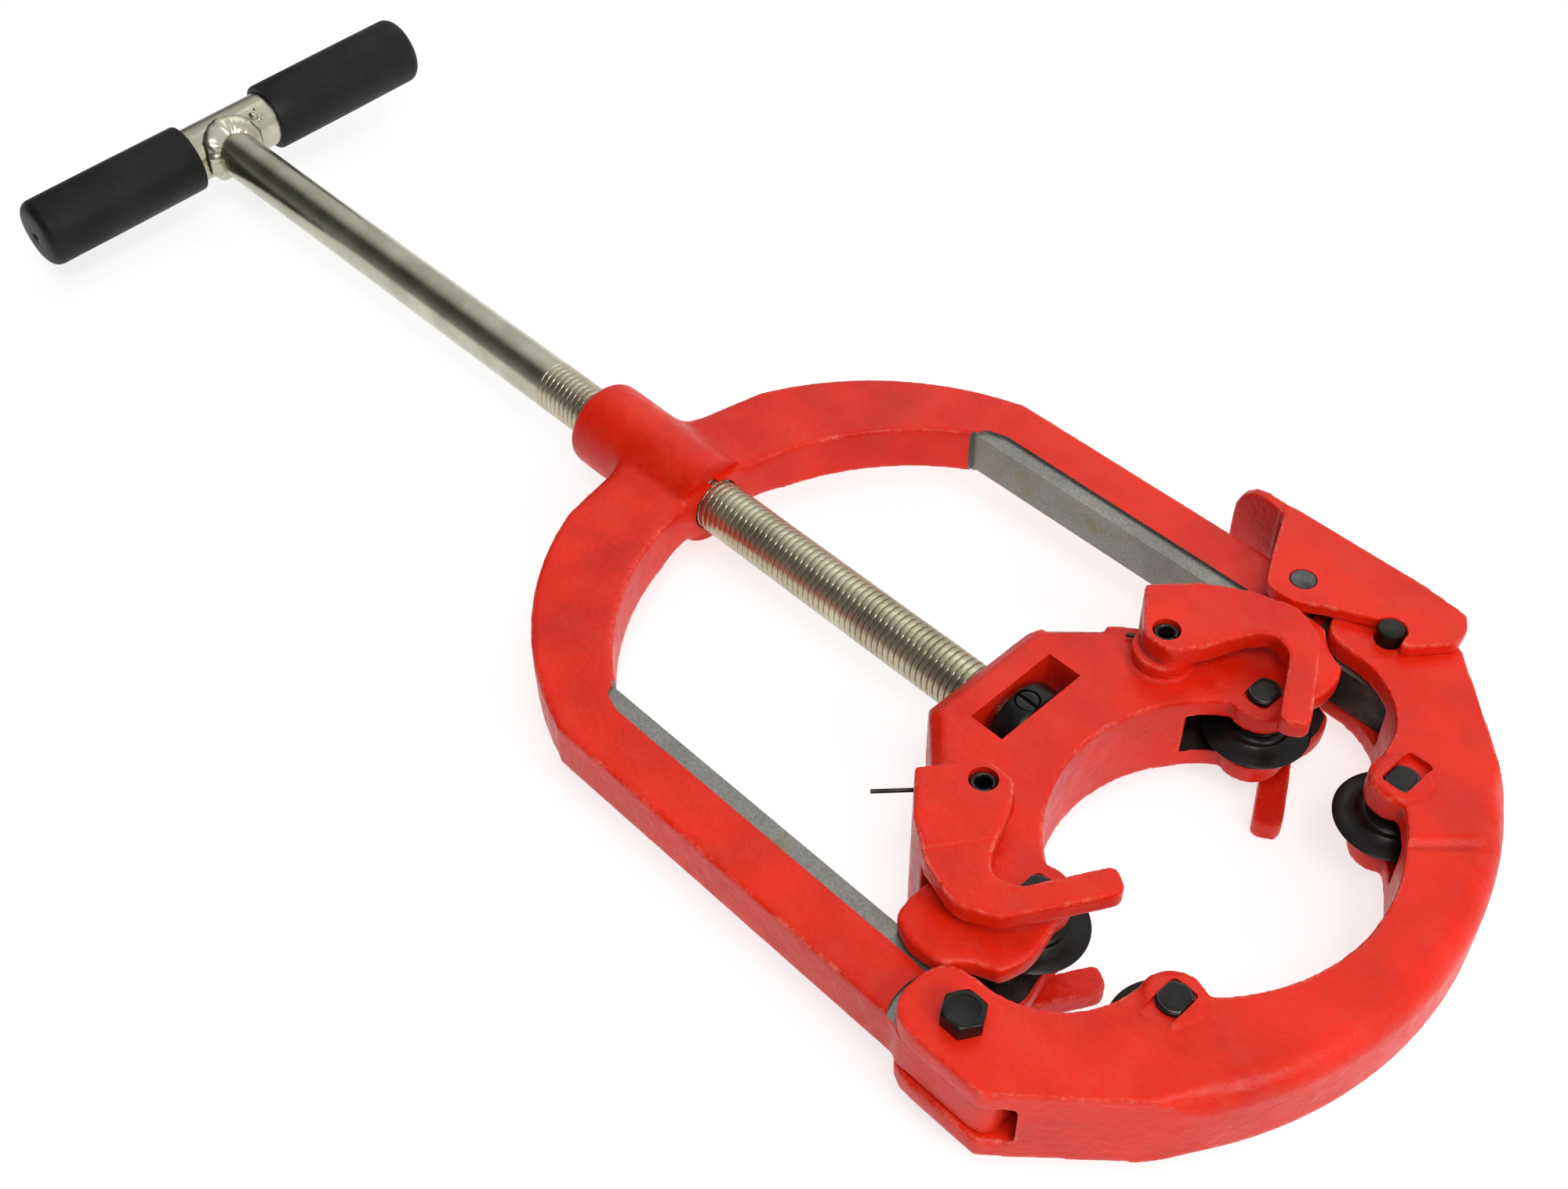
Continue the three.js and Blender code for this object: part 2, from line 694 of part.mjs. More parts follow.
function makeLatch() {
  const low = LATCH_TOP - LATCH_PLATE;
  const spineInner = 154.3;
  const spineOuter = 160.3;
  const earHalf = LATCH_TOP - 0.5;
  const plates = bothFaces(join(
    slab(latchOutline(), low, LATCH_TOP),
    disc(LATCH_PIVOT, 7.2, RAIL_HALF + GAP, low + 1, 20),
  ));
  const spine = box([-15, spineInner, -LATCH_TOP + 0.5], [54, spineOuter, LATCH_TOP - 0.5]);
  // The thumb ear flares away from the rail and has a round end.
  const ear = slab(outline([
    [-12, spineInner],
    [-12, spineOuter],
    [-20, spineOuter + 0.6, 6],
    [-41, spineOuter + 5, 2],
    [-41.5, spineOuter + 0.4, 2],
  ]), -earHalf, earHalf);
  const earSide = outline([
    [0, -earHalf],
    [0, earHalf],
    [-41.5, earHalf, 25],
    [-41.5, -earHalf, 25],
  ]);
  const sideView = new THREE.ExtrudeGeometry(earSide, { depth: 60, bevelEnabled: false });
  const roundEnd = toSolid(sideView.rotateX(Math.PI / 2).translate(0, 190, 0));
  piece('latch', cut(
    join(plates, spine, ear.intersect(roundEnd)),
    disc(LATCH_PIVOT, LATCH_PIN_R + GAP, -50, 50, 18),
  ), RED_PAINT);
}

function makeLatchPins() {
  const chamfer = 0.8;
  const pin = (half) => turned([
    [-half, 0],
    [-half, LATCH_PIN_R - chamfer],
    [-half + chamfer, LATCH_PIN_R],
    [half - chamfer, LATCH_PIN_R],
    [half, LATCH_PIN_R - chamfer],
    [half, 0],
  ], 'z', 20);
  piece('latch_pivot_pin', pin(LATCH_TOP + 0.3).translate([...LATCH_PIVOT, 0]), PIN_STEEL);
  piece('latch_pin', pin(LATCH_TOP + 0.8).translate([...LATCH_PIN, 0]), BLACK_OXIDE);
}

// ---------------------------------------------------------------- build
makeFrame();
makeHandle();
makeCollar();
makeBlock();
makeCutters();
for (const [side, sign] of [['hinge_side', -1], ['latch_side', 1]]) {
  makeGuide(`guide_${side}`, sign);
  makeGuidePin(`guide_pin_${side}`, sign);
  makeSpring(`guide_spring_${side}`, sign);
}
makeJaw();
makeHinge();
makeLatch();
makeLatchPins();

cutter.updateMatrixWorld(true);
const bounds = new THREE.Box3().setFromObject(cutter, true);
const middle = bounds.getCenter(new THREE.Vector3());
cutter.position.set(-middle.x, -middle.y, -bounds.min.z);

export default cutter;
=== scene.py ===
"""Looks for the hinged pipe cutter: castings with soft edges and machined cuts, a threaded screw, turned and
bent small parts, and procedural materials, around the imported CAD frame.

Shapes are written in millimetres in the plan of the tool: x = 0 at the guide pins, y = z = 0 on the feed
screw's axis, +X towards the jaw, +Y towards the latch, +Z up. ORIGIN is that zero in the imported
frame, in metres.
"""
import json
import math

import bmesh
import bpy
import numpy as np
from mathutils import Matrix, Vector, noise


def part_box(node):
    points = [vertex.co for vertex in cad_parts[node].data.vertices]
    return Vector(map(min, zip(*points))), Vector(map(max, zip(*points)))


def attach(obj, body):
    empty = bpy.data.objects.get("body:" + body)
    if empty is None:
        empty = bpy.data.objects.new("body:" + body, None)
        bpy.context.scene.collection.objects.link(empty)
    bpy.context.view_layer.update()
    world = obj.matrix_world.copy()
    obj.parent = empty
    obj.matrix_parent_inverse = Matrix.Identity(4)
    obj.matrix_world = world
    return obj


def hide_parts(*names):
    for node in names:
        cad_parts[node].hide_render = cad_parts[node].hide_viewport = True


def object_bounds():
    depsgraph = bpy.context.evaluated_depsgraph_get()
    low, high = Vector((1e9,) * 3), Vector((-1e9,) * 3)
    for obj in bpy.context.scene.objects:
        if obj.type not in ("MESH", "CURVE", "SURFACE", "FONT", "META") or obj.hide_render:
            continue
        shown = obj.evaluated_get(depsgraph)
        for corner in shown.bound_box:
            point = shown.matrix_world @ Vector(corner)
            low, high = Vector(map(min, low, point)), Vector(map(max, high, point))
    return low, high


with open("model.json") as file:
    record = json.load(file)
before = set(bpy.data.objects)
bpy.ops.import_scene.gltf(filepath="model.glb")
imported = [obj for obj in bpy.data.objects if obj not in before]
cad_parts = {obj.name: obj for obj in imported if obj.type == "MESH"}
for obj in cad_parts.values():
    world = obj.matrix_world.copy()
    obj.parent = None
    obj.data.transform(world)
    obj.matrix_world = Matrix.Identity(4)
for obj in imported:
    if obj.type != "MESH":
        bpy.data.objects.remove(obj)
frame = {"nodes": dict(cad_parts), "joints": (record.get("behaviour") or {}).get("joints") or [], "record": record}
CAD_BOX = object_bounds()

MM = 0.001
JOINTS = {joint["name"]: joint for joint in frame["joints"]}
BODY_OF = {
    node: body
    for body, nodes in frame["record"]["behaviour"]["bodies"].items()
    for node in nodes
}

GUIDE_X = JOINTS["guide_swing_latch_side"]["pos_m"][0]
AXIS_Y, AXIS_Z = JOINTS["screw_turn"]["pos_m"][1:]
ORIGIN = Vector((GUIDE_X, AXIS_Y, AXIS_Z))


def local(point_m):
    """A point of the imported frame, in metres, in the plan's millimetres."""
    return (Vector(point_m) - ORIGIN) / MM


def joint_xy(name):
    spot = local(JOINTS[name]["pos_m"])
    return (spot.x, spot.y)


def extent(node):
    """The lowest and highest corner of a CAD node, in the plan's millimetres."""
    low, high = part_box(node)
    return local(low), local(high)


HINGE = joint_xy("jaw_open")
LATCH_PIVOT = joint_xy("latch_lift")
SIDES = {"hinge_side": -1, "latch_side": 1}
PIN_UPPER = joint_xy("wheel_turn_upper_latch_side")
PIN_LOWER = joint_xy("wheel_turn_lower_latch_side")
GUIDE_PIN = joint_xy("guide_swing_latch_side")
LATCH_PIN = (extent("latch_pin")[0].xy + extent("latch_pin")[1].xy) / 2
SCREW_R = extent("feed_screw")[1].z
BAR_X = (extent("tee_bar")[0].x + extent("tee_bar")[1].x) / 2
FRAME_HALF = 12                 # the frame casting's half thickness
RAIL_HALF = 10.5                # and where it is machined
RAIL_INNER = 111.3
RAIL_OUTER = 142.5
STRIP_OUTER = 119.4
STRIP_START = -155
BLOCK_HALF = 20.5
JAW_HALF = 21.5
GUIDE_TOP = 38
BOSS_BACK = extent("main_frame")[0].x
BAR_TURN = math.radians(2.8)    # the handle stands a little turned
BAR_R = 15.5
PIN_BORE_R = 5.3                # round the hinge bolt and the cutter pins
WIDE_BORE_R = 5.9               # round the latch's pins and the guides' rolled pins
HUB_SPOT_FACE_R = 9.5           # milled round the latch's pivot
THREAD_PITCH = 3.25


# ---------------------------------------------------------------- meshes
def add_object(name, bm, material=None):
    """Turns a bmesh in the plan's millimetres into an object in the row frame."""
    bmesh.ops.transform(bm, matrix=Matrix.Translation(ORIGIN) @ Matrix.Scale(MM, 4), verts=bm.verts)
    mesh = bpy.data.meshes.new(name)
    bm.to_mesh(mesh)
    bm.free()
    obj = bpy.data.objects.new(name, mesh)
    bpy.context.collection.objects.link(obj)
    if material:
        mesh.materials.append(material)
    return obj


def apply_modifiers(obj):
    graph = bpy.context.evaluated_depsgraph_get()
    mesh = bpy.data.meshes.new_from_object(obj.evaluated_get(graph))
    obj.modifiers.clear()
    obj.data = mesh


def shade(obj, angle=35):
    obj.data.shade_smooth()
    obj.data.set_sharp_from_angle(angle=math.radians(angle))


def finish_piece(obj, node):
    """obj stands for a CAD node and rides on its body, and the node is hidden."""
    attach(obj, BODY_OF[node])
    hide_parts(node)


def arc(cx, cy, radius, start, end, count):
    """Points along a circular arc, angles in degrees."""
    angles = [math.radians(start + (end - start) * i / count) for i in range(count + 1)]
    return [(cx + radius * math.cos(a), cy + radius * math.sin(a)) for a in angles]


def circle(centre, radius, count=64):
    return arc(centre[0], centre[1], radius, 0, 360 * (count - 1) / count, count - 1)


def rounded(corners, steps=6):
    """A closed outline through corners (x, y, corner radius)."""
    points = []
    for i, (x, y, *rest) in enumerate(corners):
        radius = rest[0] if rest else 0
        corner = Vector((x, y))
        if radius == 0:
            points.append(corner)
            continue
        before = Vector(corners[i - 1][:2]) - corner
        after = Vector(corners[(i + 1) % len(corners)][:2]) - corner
        half = before.angle(after) / 2
        reach = min(radius / math.tan(half), before.length * 0.49, after.length * 0.49)
        start = corner + before.normalized() * reach
        end = corner + after.normalized() * reach
        for k in range(steps + 1):
            t = k / steps
            points.append((1 - t) ** 2 * start + 2 * t * (1 - t) * corner + t ** 2 * end)
    return points


def prism_mesh(points, low, high):
    """A straight-sided solid between two heights, as a bmesh."""
    bm = bmesh.new()
    bottom = [bm.verts.new((p[0], p[1], low)) for p in points]
    top = [bm.verts.new((p[0], p[1], high)) for p in points]
    bm.faces.new(bottom[::-1])
    bm.faces.new(top)
    for i, vert in enumerate(bottom):
        j = (i + 1) % len(bottom)
        bm.faces.new((vert, bottom[j], top[j], top[i]))
    bmesh.ops.recalc_face_normals(bm, faces=bm.faces)
    return bm


def prism(points, low, high, material=None):
    return add_object("cutter", prism_mesh(points, low, high), material)


def block(low, high, material=None):
    corners = [(low[0], low[1]), (high[0], low[1]), (high[0], high[1]), (low[0], high[1])]
    return prism(corners, low[2], high[2], material)


def turned_mesh(profile, segments=64):
    """A solid turned about Z. The profile lists (radius, height), and closes on the axis or on itself."""
    bm = bmesh.new()
    rings = []
    for radius, height in profile:
        if radius < 1e-6:
            rings.append([bm.verts.new((0, 0, height))])
            continue
        rings.append([
            bm.verts.new((
                radius * math.cos(2 * math.pi * i / segments),
                radius * math.sin(2 * math.pi * i / segments),
                height,
            ))
            for i in range(segments)
        ])
    for first, second in zip(rings, rings[1:]):
        for i in range(segments):
            j = (i + 1) % segments
            quad = [first[i % len(first)], first[j % len(first)]]
            quad += [second[j % len(second)], second[i % len(second)]]
            corners = list(dict.fromkeys(quad))
            if len(corners) > 2:
                bm.faces.new(corners)
    bmesh.ops.remove_doubles(bm, verts=bm.verts, dist=1e-5)
    bmesh.ops.recalc_face_normals(bm, faces=bm.faces)
    return bm


TO_X = Matrix.Rotation(math.radians(90), 4, "Y")       # turns Z into +X
TO_Y = Matrix.Rotation(math.radians(-90), 4, "X")      # turns Z into +Y


def turned(name, profile, centre, material=None, turn=None, segments=64):
    bm = turned_mesh(profile, segments)
    if turn:
        bmesh.ops.transform(bm, matrix=turn, verts=bm.verts)
    bmesh.ops.translate(bm, vec=Vector(centre), verts=bm.verts)
    return add_object(name, bm, material)


def rod_x(radius, start, end):
    """A cylinder about the screw's axis."""
    length = end - start
    return turned("rod", [(0, 0), (radius, 0), (radius, length), (0, length)], (start, 0, 0), turn=TO_X)


def boolean(obj, tool, operation="DIFFERENCE"):
    """Cuts with or joins a tool, whose material goes onto the new faces, and removes the tool."""
    if not tool.data.materials:
        tool.data.materials.append(obj.data.materials[0])
    modifier = obj.modifiers.new("boolean", "BOOLEAN")
    modifier.operation = operation
    modifier.solver = "MANIFOLD"
    modifier.object = tool
    modifier.material_mode = "TRANSFER"
    apply_modifiers(obj)
    bpy.data.objects.remove(tool)


def soften(obj, width=0.4, segments=2, angle=30, worn=None):
    """Rounds the sharp edges of a small part. The rounded edges may take a worn finish."""
    modifier = obj.modifiers.new("bevel", "BEVEL")
    if worn:
        obj.data.materials.append(worn)
        modifier.material = len(obj.data.materials) - 1
    modifier.width = width * MM
    modifier.segments = segments
    modifier.limit_method = "ANGLE"
    modifier.angle_limit = math.radians(angle)
    modifier.harden_normals = False
    apply_modifiers(obj)


def merge(obj, others):
    """Puts other objects' meshes into obj."""
    bm = bmesh.new()
    bm.from_mesh(obj.data)
    for other in others:
        bm.from_mesh(other.data)
        bpy.data.objects.remove(other)
    bm.to_mesh(obj.data)
    bm.free()


def casting(node, voxel, passes, fills=(), soft_spots=(), rough_spots=(), height=0.08, reshape=None):
    """A CAD casting with soft edges, fillets and a cast surface.

    fills are added before the edges are softened. soft_spots lists (centre, radius, passes) where they are
    softened further, and rough_spots lists (centre, radius, height) where the surface is rougher. reshape
    moves the softened surface.
    """
    bm = bmesh.new()
    bm.from_mesh(frame["nodes"][node].data)
    mesh = bpy.data.meshes.new(node + "_casting")
    bm.to_mesh(mesh)
    bm.free()
    obj = bpy.data.objects.new(node + "_casting", mesh)
    bpy.context.collection.objects.link(obj)
    merge(obj, fills)
    remesh = obj.modifiers.new("remesh", "REMESH")
    remesh.mode = "VOXEL"
    remesh.voxel_size = voxel * MM
    smooth = obj.modifiers.new("smooth", "SMOOTH")
    smooth.factor = 0.5
    smooth.iterations = passes
    apply_modifiers(obj)
    for centre, radius, more in soft_spots:
        soften_spot(obj, centre, radius, more)
    if reshape:
        reshape(obj)
    mark_edges(obj)
    roughen(obj, height, rough_spots)
    obj.data.materials.clear()
    obj.data.materials.append(MATERIALS["red_paint"])
    return obj


def soften_spot(obj, centre, radius, passes):
    spot = ORIGIN + Vector(centre) * MM
    group = obj.vertex_groups.new(name="spot")
    for vert in obj.data.vertices:
        near = 1 - (vert.co - spot).length / (radius * MM)
        if near > 0:
            group.add([vert.index], min(1, near * 2), "REPLACE")
    smooth = obj.modifiers.new("spot", "SMOOTH")
    smooth.factor = 0.5
    smooth.iterations = passes
    smooth.vertex_group = "spot"
    apply_modifiers(obj)
    obj.vertex_groups.clear()


def vertex_array(mesh, name):
    values = np.empty(len(mesh.vertices) * 3)
    mesh.vertices.foreach_get(name, values)
    return values.reshape(-1, 3)


def mark_edges(obj):
    """Writes how sharply the surface bends outwards, per millimetre, as the attribute edge."""
    mesh = obj.data
    places = vertex_array(mesh, "co") / MM
    normals = vertex_array(mesh, "normal")
    pairs = np.empty(len(mesh.edges) * 2, dtype=np.int32)
    mesh.edges.foreach_get("vertices", pairs)
    first, second = pairs.reshape(-1, 2).T
    steps = places[second] - places[first]
    lengths = (steps ** 2).sum(axis=1)
    bends = [
        -(steps * normals[first]).sum(axis=1) / lengths,
        (steps * normals[second]).sum(axis=1) / lengths,
    ]
    total = np.zeros(len(places))
    count = np.zeros(len(places))
    for ends, bend in zip((first, second), bends):
        np.add.at(total, ends, bend)
        np.add.at(count, ends, 1)
    values = 2 * total / np.maximum(count, 1)
    for _ in range(2):
        spread = np.zeros(len(places))
        np.add.at(spread, first, values[second])
        np.add.at(spread, second, values[first])
        values = 0.5 * values + 0.5 * spread / np.maximum(count, 1)
    mesh.attributes.new("edge", "FLOAT", "POINT").data.foreach_set("value", values.astype(np.float32))


def roughen(obj, height, spots):
    """Moves the surface in and out a little, as sand casting leaves it."""
    mesh = obj.data
    normals = vertex_array(mesh, "normal")
    centres = [(ORIGIN + Vector(centre) * MM, radius * MM, more) for centre, radius, more in spots]
    for vert, normal in zip(mesh.vertices, normals):
        spot = vert.co / MM
        rise = noise.noise(spot / 3.1) + 0.8 * noise.noise(spot / 9 + Vector((7, 3, 5)))
        reach = height
        for centre, radius, more in centres:
            near = 1 - (vert.co - centre).length / radius
            if near > 0:
                reach += more * min(1, near * 2)
        vert.co += Vector(normal) * rise * reach * MM


def smoothstep(value):
    t = min(1, max(0, value))
    return t * t * (3 - 2 * t)


def press(obj, height):
    """Raises or lowers the surface by height(x, y, z), all in the plan's millimetres."""
    for vert in obj.data.vertices:
        spot = local(vert.co)
        vert.co.z += height(spot.x, spot.y, spot.z) * MM


def bore(obj, centre, radius, low=-60, high=60, material=None):
    boolean(obj, prism(circle(centre, radius), low, high, material))


# ---------------------------------------------------------------- materials
def tree_of(name):
    material = bpy.data.materials.new(name)
    material.use_nodes = True
    tree = material.node_tree
    shader = tree.nodes["Principled BSDF"]
    where = tree.nodes.new("ShaderNodeTexCoord")
    return material, tree, shader, where.outputs["Object"]


def noise_node(tree, where, scale, detail=4.0, roughness=0.5, stretch=None):
    """Noise whose cells are about 1 / scale metres across."""
    texture = tree.nodes.new("ShaderNodeTexNoise")
    texture.inputs["Scale"].default_value = scale
    texture.inputs["Detail"].default_value = detail
    texture.inputs["Roughness"].default_value = roughness
    if stretch:
        mapping = tree.nodes.new("ShaderNodeMapping")
        mapping.inputs["Scale"].default_value = stretch
        tree.links.new(where, mapping.inputs["Vector"])
        where = mapping.outputs["Vector"]
    tree.links.new(where, texture.inputs["Vector"])
    return texture.outputs["Fac"]


def ramp(tree, value, stops):
    """Maps a value through (position, grey or colour) stops."""
    node = tree.nodes.new("ShaderNodeValToRGB")
    elements = node.color_ramp.elements
    while len(elements) < len(stops):
        elements.new(0.5)
    for element, (position, colour) in zip(elements, stops):
        element.position = position
        grey = isinstance(colour, (int, float))
        element.color = (colour, colour, colour, 1) if grey else (*colour, 1)
    tree.links.new(value, node.inputs["Fac"])
    return node.outputs["Color"]


def mix(tree, factor, first, second, mode="MIX"):
    node = tree.nodes.new("ShaderNodeMix")
    node.data_type = "RGBA"
    node.blend_type = mode
    node.clamp_factor = True
    set_input(tree, node.inputs["Factor"], factor)
    set_input(tree, node.inputs["A"], first)
    set_input(tree, node.inputs["B"], second)
    return node.outputs["Result"]


def set_input(tree, socket, value):
    if isinstance(value, bpy.types.NodeSocket):
        tree.links.new(value, socket)
    elif isinstance(value, (int, float)):
        socket.default_value = value
    else:
        socket.default_value = (*value, 1)


def scale_value(tree, value, factor, add=0.0):
    node = tree.nodes.new("ShaderNodeMath")
    node.operation = "MULTIPLY_ADD"
    tree.links.new(value, node.inputs[0])
    node.inputs[1].default_value = factor
    node.inputs[2].default_value = add
    return node.outputs["Value"]


def bump(tree, shader, heights):
    """Adds bumps from (value, depth in metres) pairs, the coarsest first."""
    normal = None
    for value, depth in heights:
        node = tree.nodes.new("ShaderNodeBump")
        node.inputs["Strength"].default_value = 1.0
        node.inputs["Distance"].default_value = depth
        tree.links.new(value, node.inputs["Height"])
        if normal:
            tree.links.new(normal, node.inputs["Normal"])
        normal = node.outputs["Normal"]
    tree.links.new(normal, shader.inputs["Normal"])


def edges(tree):
    """A casting's bend: over 0 on outer edges and under 0 in corners, per millimetre."""
    node = tree.nodes.new("ShaderNodeAttribute")
    node.attribute_name = "edge"
    return node.outputs["Fac"]


def red_paint():
    material, tree, shader, where = tree_of("red_paint")
    bright = (0.71, 0.016, 0.002)
    deep = (0.58, 0.011, 0.001)
    cloud = ramp(tree, noise_node(tree, where, 28, 5, 0.55), [(0.38, 0), (0.62, 1)])
    colour = mix(tree, cloud, deep, bright)
    dust = ramp(tree, noise_node(tree, where, 60, 8, 0.62), [(0.5, 0), (0.75, 0.4)])
    colour = mix(tree, dust, colour, (0.62, 0.055, 0.03))
    grime = ramp(tree, noise_node(tree, where, 17, 9, 0.7), [(0.54, 0), (0.74, 0.32)])
    colour = mix(tree, grime, colour, (0.2, 0.02, 0.016))
    # Lighter pink lines along the outer edges, broken up by noise: partly rubbed-through paint, partly a painted
    # highlight for the gloss the edges catch.
    bend = edges(tree)
    worn = ramp(tree, bend, [(0.1, 0), (0.22, 1)])
    broken = ramp(tree, noise_node(tree, where, 420, 4, 0.75), [(0.42, 0), (0.62, 0.5)])
    patchy = ramp(tree, noise_node(tree, where, 45, 4, 0.6), [(0.42, 0), (0.6, 1)])
    rubbed_and_highlit_edges = mix(tree, 1.0, mix(tree, 1.0, worn, broken, "MULTIPLY"), patchy, "MULTIPLY")
    colour = mix(tree, rubbed_and_highlit_edges, colour, (0.75, 0.2, 0.15))
    # Painted shade: the casting's corners and hollows are darkened towards near black.
    painted_corner_shade = ramp(tree, scale_value(tree, bend, -1), [(0.03, 0), (0.2, 0.65)])
    colour = mix(tree, painted_corner_shade, colour, (0.16, 0.01, 0.009))
    tree.links.new(colour, shader.inputs["Base Color"])
    gloss = ramp(tree, noise_node(tree, where, 120, 5, 0.6), [(0.3, 0.3), (0.7, 0.48)])
    tree.links.new(gloss, shader.inputs["Roughness"])
    shader.inputs["Specular IOR Level"].default_value = 0.24
    bump(tree, shader, [
        (noise_node(tree, where, 330, 3, 0.5), 0.0003),
        (noise_node(tree, where, 1400, 2, 0.5), 0.00008),
    ])
    return material


def machined():
    """Bare milled cast iron with oil stains."""
    material, tree, shader, where = tree_of("machined_iron")
    grain = noise_node(tree, where, 900, 3, 0.6)
    colour = mix(tree, ramp(tree, grain, [(0.3, 0), (0.7, 1)]), (0.17, 0.165, 0.15), (0.27, 0.265, 0.245))
    stain = ramp(tree, noise_node(tree, where, 30, 6, 0.6), [(0.56, 0), (0.64, 0.7)])
    colour = mix(tree, stain, colour, (0.2, 0.155, 0.06))
    dark = ramp(tree, noise_node(tree, where, 18, 7, 0.6), [(0.5, 0), (0.75, 0.5)])
    colour = mix(tree, dark, colour, (0.1, 0.1, 0.095))
    tree.links.new(colour, shader.inputs["Base Color"])
    shader.inputs["Metallic"].default_value = 0.75
    gloss = ramp(tree, noise_node(tree, where, 90, 5, 0.6), [(0.3, 0.34), (0.7, 0.52)])
    tree.links.new(gloss, shader.inputs["Roughness"])
    bump(tree, shader, [
        (noise_node(tree, where, 1500, 2, 0.5), 0.00003),
        (noise_node(tree, where, 260, 3, 0.6, (0.12, 4, 4)), 0.00003),
    ])
    return material


def nickel(name, dull, clean, roughness):
    """Bright plating, a little stained."""
    material, tree, shader, where = tree_of(name)
    cloud = ramp(tree, noise_node(tree, where, 40, 6, 0.6), [(0.35, 0), (0.65, 1)])
    colour = mix(tree, cloud, dull, clean)
    spots = ramp(tree, noise_node(tree, where, 420, 5, 0.7), [(0.68, 0), (0.8, 0.4)])
    colour = mix(tree, spots, colour, (0.28, 0.24, 0.17))
    tree.links.new(colour, shader.inputs["Base Color"])
    shader.inputs["Metallic"].default_value = 1.0
    gloss = ramp(tree, noise_node(tree, where, 70, 6, 0.65), [(0.3, roughness[0]), (0.7, roughness[1])])
    tree.links.new(gloss, shader.inputs["Roughness"])
    return material


def dark_metal(name, low, high, roughness, metallic, grain=0.00002):
    """Blackened or plain steel of the small parts, and the near-black iron that paints shade."""
    material, tree, shader, where = tree_of(name)
    cloud = ramp(tree, noise_node(tree, where, 150, 6, 0.65), [(0.35, 0), (0.65, 1)])
    colour = mix(tree, cloud, low, high)
    tree.links.new(colour, shader.inputs["Base Color"])
    shader.inputs["Metallic"].default_value = metallic
    spread = noise_node(tree, where, 220, 5, 0.65)
    gloss = ramp(tree, spread, [(0.3, roughness[0]), (0.7, roughness[1])])
    tree.links.new(gloss, shader.inputs["Roughness"])
    shader.inputs["Specular IOR Level"].default_value = 0.25
    bump(tree, shader, [(noise_node(tree, where, 900, 3, 0.55), grain)])
    return material


def rubber():
    material, tree, shader, where = tree_of("rubber")
    cloud = ramp(tree, noise_node(tree, where, 35, 7, 0.62), [(0.4, 0), (0.7, 1)])
    colour = mix(tree, cloud, (0.004, 0.0043, 0.004), (0.011, 0.0113, 0.0104))
    tree.links.new(colour, shader.inputs["Base Color"])
    gloss = ramp(tree, noise_node(tree, where, 60, 6, 0.6), [(0.3, 0.42), (0.7, 0.6)])
    tree.links.new(gloss, shader.inputs["Roughness"])
    shader.inputs["Specular IOR Level"].default_value = 0.2
    bump(tree, shader, [
        (noise_node(tree, where, 60, 3, 0.5), 0.0001),
        (noise_node(tree, where, 1600, 2, 0.5), 0.00003),
    ])
    return material


def pale_floor():
    material, _, shader, _ = tree_of("floor")
    shader.inputs["Base Color"].default_value = (0.38, 0.38, 0.38, 1)
    shader.inputs["Roughness"].default_value = 0.9
    shader.inputs["Specular IOR Level"].default_value = 0.1
    shader.inputs["Emission Color"].default_value = (1, 1, 1, 1)
    shader.inputs["Emission Strength"].default_value = 0.72
    return material


MATERIALS = {
    "red_paint": red_paint(),
    "machined": machined(),
    "nickel": nickel("nickel", (0.4, 0.385, 0.29), (0.54, 0.525, 0.41), (0.2, 0.3)),
    "thread_nickel": nickel("thread_nickel", (0.4, 0.36, 0.25), (0.56, 0.52, 0.38), (0.28, 0.38)),
    "rubber": rubber(),
    "black_oxide": dark_metal(
        "black_oxide", (0.003, 0.003, 0.002), (0.009, 0.008, 0.007), (0.24, 0.4), 0.15,
    ),
    "worn_black": dark_metal("worn_black", (0.03, 0.028, 0.028), (0.28, 0.26, 0.25), (0.22, 0.4), 0.8),
    # Painted shade: a near-black iron for faces that lie in shade, the lugs' inner faces and the wheel slots.
    "shade_dark_iron": dark_metal("shade_dark_iron", (0.012, 0.008, 0.007), (0.05, 0.03, 0.025), (0.4, 0.6), 0.3),
    "pin_steel": dark_metal("pin_steel", (0.05, 0.05, 0.052), (0.12, 0.12, 0.12), (0.28, 0.45), 0.85),
    "spring_steel": dark_metal("spring_steel", (0.02, 0.018, 0.015), (0.05, 0.045, 0.035), (0.3, 0.45), 0.7),
}


# ---------------------------------------------------------------- frame casting
def strip_outline(side, pivot, radius):
    """Plan of what is milled off the top of one rail, with room to spare over the inner face."""
    return rounded([
        (STRIP_START, side * (RAIL_INNER - 4)),
        (STRIP_START + 4, side * (STRIP_OUTER - 3), 5),
        (STRIP_START + 14, side * STRIP_OUTER, 5),
        (pivot[0] - radius - 6, side * STRIP_OUTER, 8),
        (pivot[0] - radius * 0.7, side * (abs(pivot[1]) - radius * 0.3)),
        (pivot[0], side * (RAIL_INNER - 4)),
    ])


def slim_boss(obj):
    """Draws the boss in a little. Its foundry taper leaves it slimmer than its hub."""
    for vert in obj.data.vertices:
        spot = local(vert.co)
        radius = math.hypot(spot.y, spot.z)
        if spot.x > -200 or radius > 28:
            continue
        slimmer = 1.5 * smoothstep((28 - radius) / 5) * smoothstep((radius - 13.5) / 5)
        vert.co.yz = Vector((AXIS_Y, AXIS_Z)) + Vector((spot.y, spot.z)) * (1 - slimmer / radius) * MM


